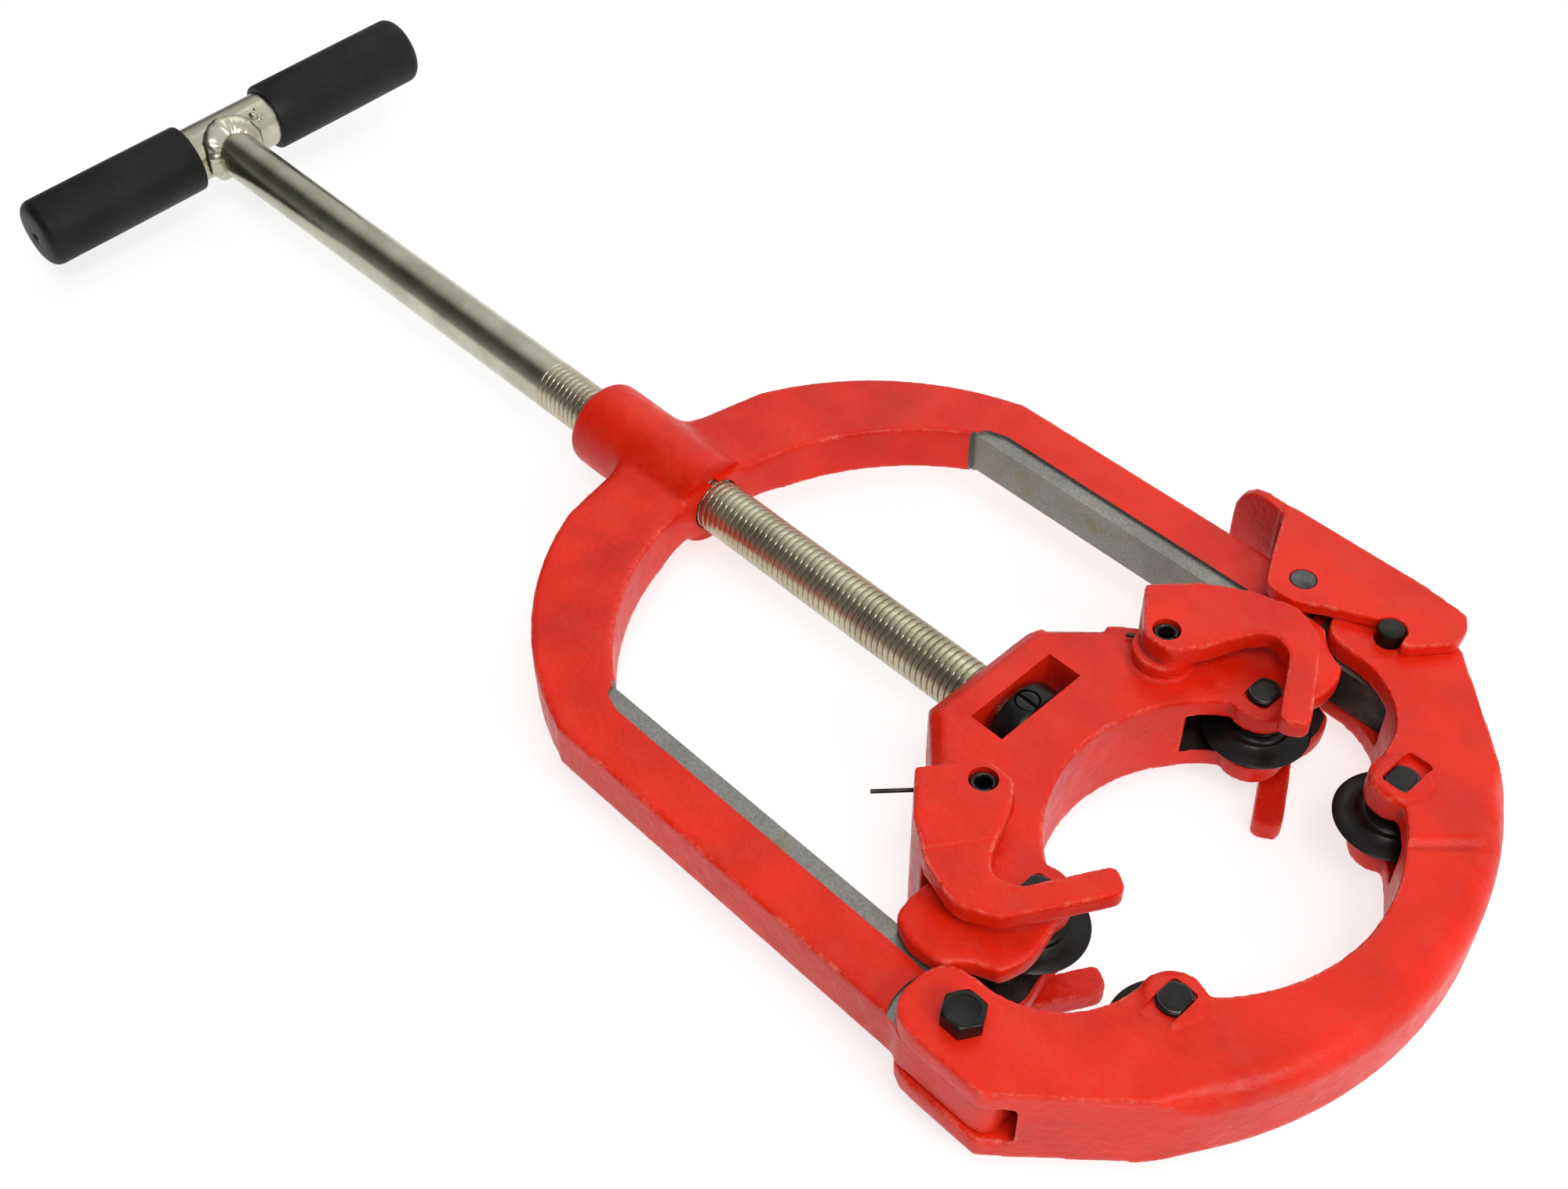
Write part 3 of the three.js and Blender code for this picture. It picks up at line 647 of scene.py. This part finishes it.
def make_frame():
    machined_iron = MATERIALS["machined"]
    high = FRAME_HALF + 3
    fills = []
    for side, pivot in ((-1, HINGE), (1, LATCH_PIN)):
        inner = side * (RAIL_INNER - 2.5)
        outer = side * RAIL_OUTER
        low, top = min(inner, outer), max(inner, outer)
        fills.append(block((STRIP_START + 2, low, -FRAME_HALF), (pivot[0] + 15, top, FRAME_HALF)))
    boss_front = -215
    boss_r = 23
    boss_neck = 12.8            # half height of the boss in front of the arch
    fills.append(rod_x(boss_r, boss_front - 9, boss_front + 3))
    junctions = [((boss_front - 25, side * 22, 0), 38, 170) for side in (-1, 1)]
    obj = casting("main_frame", 1.2, 8, fills, junctions, reshape=slim_boss)
    for low, top in ((boss_neck, 30), (-30, -boss_neck)):
        boolean(obj, block((boss_front, -30, low), (boss_front + 12, 30, top)))
    boolean(obj, rod_x(SCREW_R + 0.5, BOSS_BACK - 6, boss_front + 12))
    radius = 28
    past_lugs = 110
    for side, pivot in ((-1, HINGE), (1, LATCH_PIN)):
        milled = strip_outline(side, pivot, radius)
        for low, top in ((RAIL_HALF, high), (-high, -RAIL_HALF)):
            boolean(obj, prism(milled, low, top, machined_iron))
            boolean(obj, prism(circle(pivot, radius), low, top, machined_iron))
            span = sorted((side * (RAIL_INNER - 6), side * (RAIL_OUTER + 6)))
            boolean(obj, block((pivot[0], span[0], low), (past_lugs, span[1], top), machined_iron))
            boolean(obj, prism(circle(LATCH_PIVOT, HUB_SPOT_FACE_R), low, top, machined_iron))
        span = sorted((side * (RAIL_INNER - 8), side * RAIL_INNER))
        lug_start = pivot[0] - radius
        boolean(obj, block((STRIP_START, span[0], -high), (lug_start, span[1], high), machined_iron))
        # The lugs' inner faces take the near-black iron as painted shade.
        lug_face = block((lug_start, span[0], -high), (past_lugs, span[1], high), MATERIALS["shade_dark_iron"])
        boolean(obj, lug_face)
    bore(obj, HINGE, PIN_BORE_R)
    bore(obj, LATCH_PIVOT, WIDE_BORE_R)
    mouth_r = 6.4
    bore(obj, LATCH_PIN, mouth_r)
    x, y = LATCH_PIN
    mouth = [(x, y - mouth_r), (x, y + mouth_r), (x + 40, y + mouth_r), (x + 40, y - mouth_r - 3)]
    boolean(obj, prism(mouth, -high, high))
    shade(obj)
    finish_piece(obj, "main_frame")


# ---------------------------------------------------------------- other castings
def head_slot(pin, face, reach):
    """The milled slot across a cutter pin, whose sides hold the flats of its head."""
    half = 5.7
    x, y = pin
    corners = ((-half, -reach), (half, -reach), (half, reach), (-half, reach))
    return prism(rounded([(x + dx, y + dy, 2) for dx, dy in corners]), face - 0.7, face + 20)


def ragged(centre, radius, seed, count=40, depth=0.16):
    """A round outline with an uneven edge."""
    points = []
    for i in range(count):
        angle = 2 * math.pi * i / count
        wobble = noise.noise(Vector((2 * math.cos(angle), 2 * math.sin(angle), seed)))
        r = radius * (1 + depth * wobble)
        points.append((centre[0] + r * math.cos(angle), centre[1] + r * math.sin(angle)))
    return points


def make_block():
    window_back, window_front, window_half = -33.6, -16.9, 24
    wheel_slot = [(-4.3, 93.8), (-4.3, 140), (75, 140), (75, 29), (30.8, 29.5), (22.8, 44.2)]
    slot_half = 11.2
    guide_bore_r = 5.8
    around = window_half + 2
    fills = [block((window_back - 2, -around, 14), (window_front + 2, around, BLOCK_HALF))]
    for side in SIDES.values():
        pivot = (GUIDE_PIN[0], side * GUIDE_PIN[1])
        fills.append(prism(circle(pivot, 12.8), 0, BLOCK_HALF + 1.2))
        fills.append(prism(circle((PIN_UPPER[0], side * PIN_UPPER[1]), 9), 13, BLOCK_HALF + 0.3))
    lug_edges = [((48, side * 100, 0), 45, 22) for side in SIDES.values()]
    obj = casting("slide_block", 1.0, 6, fills, lug_edges)
    boolean(obj, block((window_back, -window_half, -50), (window_front, window_half, 50)))
    for side in SIDES.values():
        slot = [(x, side * y) for x, y in wheel_slot]
        # The wheel slots take the near-black iron as painted shade.
        boolean(obj, prism(slot, -slot_half, slot_half, MATERIALS["shade_dark_iron"]))
        bore(obj, (GUIDE_PIN[0], side * GUIDE_PIN[1]), guide_bore_r)
        pin = (PIN_UPPER[0], side * PIN_UPPER[1])
        boolean(obj, head_slot(pin, BLOCK_HALF, 7.6))
        bore(obj, pin, PIN_BORE_R)
    shade(obj)
    finish_piece(obj, "slide_block")


def jaw_ridge(x, y, z):
    """The top steps up softly along a line across the jaw, towards the latch."""
    past = ((y - 43) - (x - 125)) * math.sqrt(0.5)
    under_latch = smoothstep((y - 82) / 20)
    return 2.6 * smoothstep(past / 6) * smoothstep((z - 8) / 12) * (1 - under_latch)


def round_over(obj):
    """Rounds the jaw's outer edges over, most of all round the front."""
    centre_x, outer_r = -5, 171.5
    for vert in obj.data.vertices:
        spot = local(vert.co)
        away = Vector((spot.x - centre_x, spot.y))
        round_r = 1 + 10 * smoothstep((spot.x - 112) / 30)
        inward = outer_r - away.length
        down = JAW_HALF - abs(spot.z)
        if spot.x < 112 or inward > round_r or down > round_r:
            continue
        corner = Vector((round_r - inward, round_r - down))
        if corner.length <= round_r:
            continue
        corner *= round_r / corner.length
        away *= (outer_r - round_r + corner.x) / away.length
        height = math.copysign(JAW_HALF - round_r + corner.y, spot.z)
        vert.co = ORIGIN + Vector((centre_x + away.x, away.y, height)) * MM


def shape_jaw(obj):
    round_over(obj)
    press(obj, jaw_ridge)


def make_jaw():
    pad_rise = 1.3              # of the rough pads round the lower cutter pins
    fills = []
    rough = []
    for i, side in enumerate(SIDES.values()):
        pin = (PIN_LOWER[0], side * PIN_LOWER[1])
        fills.append(prism(ragged(pin, 10.8, i * 3.1, depth=0.2), 13, JAW_HALF + pad_rise))
        rough.append(((*pin, JAW_HALF), 26, 0.16))
    fills.append(prism(circle(LATCH_PIN, 9), 14, JAW_HALF))
    obj = casting("lower_jaw", 1.1, 8, fills, (), rough, reshape=shape_jaw)
    for side in SIDES.values():
        pin = (PIN_LOWER[0], side * PIN_LOWER[1])
        boolean(obj, head_slot((pin[0], pin[1] + 3 * side), JAW_HALF + 0.5, 10))
        bore(obj, pin, PIN_BORE_R)
    bore(obj, LATCH_PIN, WIDE_BORE_R, 10)
    shade(obj)
    finish_piece(obj, "lower_jaw")


def guide_step(x, y, z):
    """The finger lies a little lower than the pivot end."""
    past = (x - 15.3) * 0.83 + (abs(y) - 80.3) * 0.557
    return -0.8 * smoothstep(past / 1.6 + 0.5) * smoothstep((z - 31) / 4)


def make_guides():
    for name, side in SIDES.items():
        node = "guide_" + name
        pivot = (GUIDE_PIN[0], side * GUIDE_PIN[1])
        bend = (28, side * 92, GUIDE_TOP)
        plug = prism(circle(pivot, 8), GUIDE_TOP - 7, GUIDE_TOP)
        obj = casting(node, 0.9, 7, [plug], (), [(bend, 30, 0.14)])
        press(obj, guide_step)
        bore(obj, pivot, WIDE_BORE_R, GUIDE_TOP - 9)
        shade(obj)
        finish_piece(obj, node)


def make_latch():
    top = extent("latch")[1].z
    plug = prism(circle(LATCH_PIVOT, 8), top - 5, top)
    obj = casting("latch", 0.8, 4, [plug], height=0.06)
    bore(obj, LATCH_PIVOT, WIDE_BORE_R, top - 7)
    shade(obj)
    finish_piece(obj, "latch")


# ---------------------------------------------------------------- feed screw and handle
def handle_turn(bm):
    bmesh.ops.rotate(bm, cent=(0, 0, 0), matrix=Matrix.Rotation(BAR_TURN, 3, "X"), verts=bm.verts)


def thread_depth(turns):
    """How far below the crest the rolled thread is, from 0 to 1: broad crests and narrow grooves."""
    groove = 0.3
    along = turns % 1
    if along < groove:
        return 1 - abs(2 * along / groove - 1)
    return 0.12 * (2 * (along - groove) / (1 - groove) - 1) ** 2


def make_screw():
    low, high = extent("feed_screw")
    depth = 0.95
    journal_r = 9
    thread_start = -330
    block_back = -51.3
    segments = 60
    rows = [low.x + 8 + i * 8 for i in range(round((thread_start - low.x - 8) / 8))]
    step = THREAD_PITCH / 20
    rows += [thread_start + i * step for i in range(int((block_back - thread_start) / step))]
    bm = bmesh.new()
    rings = []
    for x in rows:
        ring = []
        for i in range(segments):
            angle = 2 * math.pi * i / segments
            radius = SCREW_R
            if x > thread_start:
                run_in = min(1, (x - thread_start) / (1.5 * THREAD_PITCH))
                turns = (x - thread_start) / THREAD_PITCH - i / segments
                radius -= depth * run_in * thread_depth(turns)
            ring.append(bm.verts.new((x, radius * math.cos(angle), radius * math.sin(angle))))
        rings.append(ring)
    for x, radius in ((block_back, journal_r), (high.x - 1, journal_r), (high.x, journal_r - 1)):
        rings.append([
            bm.verts.new((
                x,
                radius * math.cos(2 * math.pi * i / segments),
                radius * math.sin(2 * math.pi * i / segments),
            ))
            for i in range(segments)
        ])
    for first, second in zip(rings, rings[1:]):
        for i in range(segments):
            j = (i + 1) % segments
            bm.faces.new((first[i], first[j], second[j], second[i]))
    bm.faces.new(rings[0][::-1])
    bm.faces.new(rings[-1])
    bmesh.ops.recalc_face_normals(bm, faces=bm.faces)
    handle_turn(bm)
    obj = add_object("feed_screw_thread", bm, MATERIALS["nickel"])
    obj.data.materials.append(MATERIALS["thread_nickel"])
    for face in obj.data.polygons:
        face.material_index = int(local(face.center).x > thread_start)
    shade(obj, 40)
    finish_piece(obj, "feed_screw")


def along_bar(name, profile, material, segments=96):
    bm = turned_mesh(profile, segments)
    bmesh.ops.transform(bm, matrix=Matrix.Translation((BAR_X, 0, 0)) @ TO_Y, verts=bm.verts)
    handle_turn(bm)
    return add_object(name, bm, material)


def make_bar():
    bore_r = 12.5
    half = 112
    middle = 4.5
    low, high = middle - half, middle + half
    obj = along_bar("tee_bar_tube", [
        (bore_r, low), (BAR_R - 0.6, low), (BAR_R, low + 0.6),
        (BAR_R, high - 0.6), (BAR_R - 0.6, high), (bore_r, high), (bore_r, low),
    ], MATERIALS["nickel"])
    shade(obj)
    finish_piece(obj, "tee_bar")


def blob(bm, centre, radius, seed):
    """A small uneven drop of weld metal."""
    made = bmesh.ops.create_icosphere(bm, subdivisions=3, radius=radius, matrix=Matrix.Translation(centre))
    for vert in made["verts"]:
        away = vert.co - Vector(centre)
        vert.co += away * 0.35 * noise.noise(away / radius * 1.3 + Vector((seed, 0, 0)))


def make_weld():
    """The lumpy bead where the rod meets the bar, with drops of spatter beside it."""
    around, across = 160, 24
    bm = bmesh.new()
    rings = []
    for i in range(around):
        angle = 2 * math.pi * i / around
        swell = noise.noise(Vector((2.4 * math.cos(angle), 2.4 * math.sin(angle), 4.0)))
        ripple = noise.noise(Vector((11 * math.cos(angle), 11 * math.sin(angle), 1.0)))
        outward = Vector((0, math.cos(angle), math.sin(angle)))
        foot = outward * (SCREW_R - 0.6)
        lean = math.asin(foot.z / BAR_R)
        raised = Vector((math.cos(lean), 0, math.sin(lean)))
        along = (outward - raised * outward.dot(raised)).normalized()
        foot.x = BAR_X + BAR_R * math.cos(lean) - 0.6
        wide = 6.2 + 1.6 * swell + 0.25 * ripple + 1.8 * max(0, math.sin(angle))
        tall = 5.2 + 0.8 * swell + 0.2 * ripple
        ring = []
        for k in range(across):
            turn = 2 * math.pi * k / across
            offset = raised * (tall * math.cos(turn)) + along * (wide * math.sin(turn))
            point = foot + offset
            lump = 0.06 * noise.noise(point / 3.1)
            ring.append(bm.verts.new(foot + offset * (1 + lump)))
        rings.append(ring)
    for i, first in enumerate(rings):
        second = rings[(i + 1) % around]
        for k in range(across):
            j = (k + 1) % across
            bm.faces.new((first[k], first[j], second[j], second[k]))
    bmesh.ops.recalc_face_normals(bm, faces=bm.faces)
    # each drop's place along the bar, its angle up round the bar and its radius
    drops = ((18.5, 50, 2.2), (22, 62, 1.1), (20.5, 38, 1.3), (-23, 66, 0.8), (-20, 70, 0.6), (24, 44, 0.7))
    for seed, (y, lift, radius) in enumerate(drops):
        rise = math.radians(lift)
        blob(bm, (BAR_X + BAR_R * math.cos(rise), y, BAR_R * math.sin(rise)), radius, seed)
    handle_turn(bm)
    obj = add_object("tee_weld_bead", bm, MATERIALS["nickel"])
    shade(obj, 80)
    finish_piece(obj, "tee_weld")


def make_grips():
    bore_r = 15.6
    radius = 19
    length = 97
    for name, side in SIDES.items():
        inner = -21.5 if side < 0 else 30.5

        def at(depth):
            return inner + side * depth

        shoulder = [
            (radius - 6 + 6 * math.cos(math.radians(a)), at(length - 6 + 6 * math.sin(math.radians(a))))
            for a in range(0, 80, 10)
        ]
        profile = [
            (bore_r, at(0)), (radius - 1.3, at(0)), (radius - 0.3, at(0.4)), (radius, at(1.4)),
            (radius + 0.1, at(length / 2)), *shoulder, (6, at(length + 0.2)), (2.4, at(length)),
            (1.5, at(length - 1)), (1.3, at(length - 5)), (bore_r, at(length - 5)), (bore_r, at(0)),
        ]
        obj = along_bar("grip_sleeve_" + name, profile, MATERIALS["rubber"])
        shade(obj, 50)
        finish_piece(obj, "grip_" + name)


def make_collar():
    low, high = extent("thrust_collar")
    radius = 20.6
    bore = 9.3
    middle = (low.x + high.x) / 2
    half = (high.x - low.x) / 2
    obj = turned("thrust_collar_ring", [
        (bore, -half), (radius - 1.8, -half), (radius - 0.5, -half + 0.5), (radius, -half + 1.8),
        (radius, half - 1.8), (radius - 0.5, half - 0.5), (radius - 1.8, half), (bore, half), (bore, -half),
    ], (middle, 0, 0), MATERIALS["black_oxide"], TO_X, 96)
    boolean(obj, prism(circle((middle, 0), 5.6), 2, 30))
    spin_about_axis(obj)
    soften(obj, 0.3)
    shade(obj)
    finish_piece(obj, "thrust_collar")

    screw = turned("collar_set_screw", [
        (0, 9.6), (5.2, 9.6), (5.2, radius - 1.5), (4.6, radius - 0.8), (0, radius - 0.7),
    ], (middle, 0, 0), MATERIALS["black_oxide"])
    boolean(screw, block((middle - 9, -0.65, radius - 3), (middle + 9, 0.65, 30)))
    spin_about_axis(screw)
    soften(screw, 0.2)
    shade(screw)
    finish_piece(screw, "collar_screw")


def spin_about_axis(obj):
    """Turns a finished object with the handle, about the screw's axis."""
    pivot = Matrix.Translation(ORIGIN)
    obj.data.transform(pivot @ Matrix.Rotation(BAR_TURN, 4, "X") @ pivot.inverted())


# ---------------------------------------------------------------- pins, wheels, springs and fasteners
def make_wheels():
    for level, spot in (("upper", PIN_UPPER), ("lower", PIN_LOWER)):
        for name, side in SIDES.items():
            node = f"cutter_wheel_{level}_{name}"
            half = [
                (5.3, 9.9), (5.8, 10.4), (9.2, 10.4), (9.8, 9.8), (9.9, 6.4), (10.5, 5.6),
                (12.6, 5.0), (13.3, 4.3), (13.8, 3.1), (14.8, 2.4), (18, 1.5), (21.3, 0.75),
            ]
            profile = [*half, (22.45, 0.12), (22.45, -0.12), *[(r, -z) for r, z in reversed(half)], half[0]]
            centre = (spot[0], side * spot[1], 0)
            obj = turned(node + "_disc", profile, centre, MATERIALS["black_oxide"], segments=128)
            shade(obj, 30)
            finish_piece(obj, node)


def make_cutter_pins():
    head_r = 7.1
    flat = 5.3
    pin_r = 5
    for level, spot, face in (("upper", PIN_UPPER, BLOCK_HALF), ("lower", PIN_LOWER, JAW_HALF + 0.4)):
        low, high = extent(f"cutter_pin_{level}_latch_side")
        for name, side in SIDES.items():
            node = f"cutter_pin_{level}_{name}"
            obj = turned(node + "_turned", [
                (0, low.z), (pin_r - 0.8, low.z), (pin_r, low.z + 0.8), (pin_r, low.z + 1.4),
                (pin_r - 1, low.z + 1.4), (pin_r - 1, low.z + 2.8), (pin_r, low.z + 2.8),
                (pin_r, face - 1.4), (head_r, face - 1.4), (head_r, high.z - 0.7),
                (head_r - 0.9, high.z - 0.1), (4, high.z), (0, high.z - 0.2),
            ], (spot[0], side * spot[1], 0), MATERIALS["black_oxide"])
            y = side * spot[1]
            for edges_x in ((spot[0] - 20, spot[0] - flat), (spot[0] + flat, spot[0] + 20)):
                boolean(obj, block((edges_x[0], y - 20, face - 1.2), (edges_x[1], y + 20, 60)))
            soften(obj, 0.35, worn=MATERIALS["worn_black"])
            shade(obj)
            finish_piece(obj, node)


def make_pin_clips():
    for level, spot in (("upper", PIN_UPPER), ("lower", PIN_LOWER)):
        for name, side in SIDES.items():
            node = f"pin_clip_{level}_{name}"
            low, high = extent(node)
            centre = (spot[0], side * spot[1])
            obj = prism(circle(centre, 8), low.z, high.z, MATERIALS["spring_steel"])
            obj.name = node + "_ring"
            boolean(obj, prism(circle(centre, 4.3), low.z - 1, high.z + 1))
            x, y = centre
            boolean(obj, block((x, y - 3.2, low.z - 1), (x + 12, y + 3.2, high.z + 1)))
            for angle in (math.radians(110), math.radians(250)):
                hole = (x + 6.6 * math.cos(angle), y + 6.6 * math.sin(angle))
                boolean(obj, prism(circle(hole, 0.8, 20), low.z - 1, high.z + 1))
            soften(obj, 0.15, 1)
            shade(obj)
            finish_piece(obj, node)


def make_guide_pins():
    outer, inner = 5.5, 3.3
    for name, side in SIDES.items():
        node = "guide_pin_" + name
        top = extent(node)[1].z
        spot = (GUIDE_PIN[0], side * GUIDE_PIN[1], 0)
        obj = turned(node + "_rolled", [
            (inner, -top + 0.6), (inner + 0.5, -top), (outer - 0.9, -top), (outer, -top + 1.2),
            (outer, top - 1.2), (outer - 0.9, top), (inner + 0.5, top), (inner, top - 0.6),
            (inner, -top + 0.6),
        ], spot, MATERIALS["black_oxide"])
        boolean(obj, block((spot[0], spot[1] - 0.5, -50), (spot[0] + 10, spot[1] + 0.5, 50)))
        soften(obj, 0.25, worn=MATERIALS["worn_black"])
        shade(obj)
        finish_piece(obj, node)


def tube(name, points, radius, material, sides=14):
    """A round wire through points."""
    curve = bpy.data.curves.new(name, "CURVE")
    curve.dimensions = "3D"
    curve.bevel_depth = radius * MM
    curve.bevel_resolution = sides // 4
    curve.use_fill_caps = True
    spline = curve.splines.new("POLY")
    spline.points.add(len(points) - 1)
    for target, point in zip(spline.points, points):
        target.co = (*(ORIGIN + Vector(point) * MM), 1)
    source = bpy.data.objects.new(name, curve)
    bpy.context.collection.objects.link(source)
    graph = bpy.context.evaluated_depsgraph_get()
    mesh = bpy.data.meshes.new_from_object(source.evaluated_get(graph))
    bpy.data.objects.remove(source)
    obj = bpy.data.objects.new(name, mesh)
    bpy.context.collection.objects.link(obj)
    bm = bmesh.new()
    bm.from_mesh(mesh)
    bmesh.ops.remove_doubles(bm, verts=bm.verts, dist=1e-6)
    bmesh.ops.recalc_face_normals(bm, faces=bm.faces)
    bm.to_mesh(mesh)
    bm.free()
    mesh.materials.clear()
    mesh.materials.append(material)
    return obj


def make_springs():
    """A torsion spring round each guide pin, with two straight legs."""
    mean, low, high, least_turns = 8, 22.4, 26.4, 1.2
    tips = {"hinge_side": ((-34, -81), (4, -67)), "latch_side": ((-17.5, 53.5), (4, 67))}
    for name, side in SIDES.items():
        centre = Vector((GUIDE_PIN[0], side * GUIDE_PIN[1]))
        touch = []
        for tip, sign in zip(tips[name], (-1, 1)):
            away = Vector(tip) - centre
            touch.append(math.atan2(away.y, away.x) + sign * math.acos(mean / away.length))
        sweep = touch[1] - touch[0]
        while sweep > -least_turns * 2 * math.pi:
            sweep -= 2 * math.pi
        steps = 110
        points = [(*tips[name][0], low)]
        for i in range(steps + 1):
            angle = touch[0] + sweep * i / steps
            height = low + (high - low) * i / steps
            points.append((centre.x + mean * math.cos(angle), centre.y + mean * math.sin(angle), height))
        points.append((*tips[name][1], high))
        obj = tube(f"guide_spring_{name}_wire", points, 0.9, MATERIALS["spring_steel"])
        shade(obj, 50)
        finish_piece(obj, "guide_spring_" + name)


def hexagon(centre, across_corners, low, high, turn=0):
    return arc(centre[0], centre[1], across_corners / 2, turn, turn + 300, 5), low, high


def make_hinge_bolt():
    black = MATERIALS["black_oxide"]
    low, high = extent("hinge_bolt")
    across = 17.6
    head_low = JAW_HALF + 0.3
    centre = (*HINGE, 0)
    bolt = turned("hinge_bolt_shank", [
        (0, low.z), (4.2, low.z), (5, low.z + 0.8), (5, head_low + 0.5), (0, head_low + 0.5),
    ], centre, black)
    head = prism(*hexagon(HINGE, across, head_low, high.z), black)
    chamfer = turned("chamfer", [
        (0, head_low - 1), (7.6, head_low - 1), (9.2, head_low + 0.5),
        (9.2, high.z - 1.1), (7.5, high.z), (0, high.z),
    ], centre, black, None, 96)
    boolean(head, chamfer, "INTERSECT")
    boolean(head, turned("dish", [
        (0, high.z - 0.5), (5.6, high.z - 0.4), (6.4, high.z + 1), (0, high.z + 1),
    ], centre, black))
    boolean(bolt, head, "UNION")
    soften(bolt, 0.3, worn=MATERIALS["worn_black"])
    shade(bolt)
    finish_piece(bolt, "hinge_bolt")

    low, high = extent("hinge_washer")
    washer = turned("hinge_washer_ring", [
        (5.3, low.z), (9.8, low.z), (10, low.z + 0.3), (10, high.z - 0.2), (9.8, high.z), (5.3, high.z),
        (5.3, low.z),
    ], centre, black)
    shade(washer)
    finish_piece(washer, "hinge_washer")

    low, high = extent("hinge_nut")
    nut = prism(*hexagon(HINGE, across, low.z, high.z), black)
    nut.name = "hinge_nut_hex"
    boolean(nut, turned("chamfer", [
        (0, low.z), (7.6, low.z), (9.2, low.z + 1.1), (9.2, high.z - 1.1), (7.6, high.z), (0, high.z),
    ], centre, black, None, 96), "INTERSECT")
    boolean(nut, prism(circle(HINGE, 5.3), low.z - 1, high.z + 1))
    soften(nut, 0.25)
    shade(nut)
    finish_piece(nut, "hinge_nut")


def make_latch_pins():
    for node, spot, slot in (
        ("latch_pivot_pin", LATCH_PIVOT, "pin_steel"),
        ("latch_pin", LATCH_PIN, "black_oxide"),
    ):
        top = extent(node)[1].z
        profile = [(0, -top), (4.6, -top), (5.4, -top + 0.4), (5.6, -top + 1)]
        profile += [(r, -z) for r, z in reversed(profile)]
        obj = turned(node + "_turned", profile, (spot[0], spot[1], 0), MATERIALS[slot])
        shade(obj)
        finish_piece(obj, node)


# ---------------------------------------------------------------- stage
def make_camera():
    """Camera above the jaw's hinge side, looking down the tool towards the handle."""
    azimuth, elevation, roll = (math.radians(a) for a in (46.98, 46.31, -0.98))
    forward = Vector((
        -math.sin(azimuth) * math.cos(elevation),
        math.cos(azimuth) * math.cos(elevation),
        -math.sin(elevation),
    ))
    level = forward.cross(Vector((0, 0, 1))).normalized()
    upright = level.cross(forward)
    right = level * math.cos(roll) + upright * math.sin(roll)
    up = upright * math.cos(roll) - level * math.sin(roll)
    data = bpy.data.cameras.new("camera")
    data.lens = 44.9
    data.sensor_width = 36
    camera = bpy.data.objects.new("camera", data)
    place = ORIGIN + Vector((285.3, -422.8, 621.8)) * MM
    camera.matrix_world = Matrix.Translation(place) @ Matrix((right, up, -forward)).transposed().to_4x4()
    bpy.context.collection.objects.link(camera)
    bpy.context.scene.camera = camera


def area_light(name, place, target, size, power, colour=(1, 1, 1)):
    data = bpy.data.lights.new(name, "AREA")
    data.shape = "RECTANGLE"
    data.size, data.size_y = size
    data.energy = power
    data.color = colour
    light = bpy.data.objects.new(name, data)
    light.location = place
    light.rotation_euler = (Vector(target) - Vector(place)).to_track_quat("-Z", "Y").to_euler()
    bpy.context.collection.objects.link(light)


def make_world():
    """A grey studio, bright overhead and towards the latch side, and darker beside the hinge."""
    world = bpy.data.worlds.new("studio")
    world.use_nodes = True
    tree = world.node_tree
    where = tree.nodes.new("ShaderNodeTexCoord").outputs["Generated"]
    aim = tree.nodes.new("ShaderNodeVectorMath")
    aim.operation = "DOT_PRODUCT"
    aim.inputs[1].default_value = (0.25, 0.75, 0.6)
    tree.links.new(where, aim.inputs[0])
    facing = scale_value(tree, aim.outputs["Value"], 0.5, 0.5)
    glow = ramp(tree, facing, [(0.15, 0.32), (0.36, 0.1), (0.54, 0.04), (0.72, 0.75), (1.0, 0.9)])
    tree.links.new(glow, tree.nodes["Background"].inputs["Color"])
    bpy.context.scene.world = world


def make_stage():
    bm = bmesh.new()
    bmesh.ops.create_grid(bm, x_segments=2, y_segments=2, size=6)
    mesh = bpy.data.meshes.new("floor")
    bm.to_mesh(mesh)
    bm.free()
    floor = bpy.data.objects.new("floor", mesh)
    floor.location = (0, 0, CAD_BOX[0][2] - 0.0005)
    mesh.materials.append(pale_floor())
    bpy.context.collection.objects.link(floor)
    make_world()
    middle = (0.1, 0, 0.03)
    area_light("key", (1.0, -0.7, 1.9), middle, (0.9, 0.8), 19)
    area_light("glint", (2.0, -0.2, 1.4), middle, (0.6, 0.6), 16)
    area_light("back", (-0.6, 1.4, 1.9), middle, (1.6, 1.2), 6)
    bpy.context.scene.view_settings.view_transform = "Standard"


# ---------------------------------------------------------------- build
make_camera()
make_stage()
make_frame()
make_block()
make_jaw()
make_guides()
make_latch()
make_screw()
make_bar()
make_weld()
make_grips()
make_collar()
make_wheels()
make_cutter_pins()
make_pin_clips()
make_guide_pins()
make_springs()
make_hinge_bolt()
make_latch_pins()
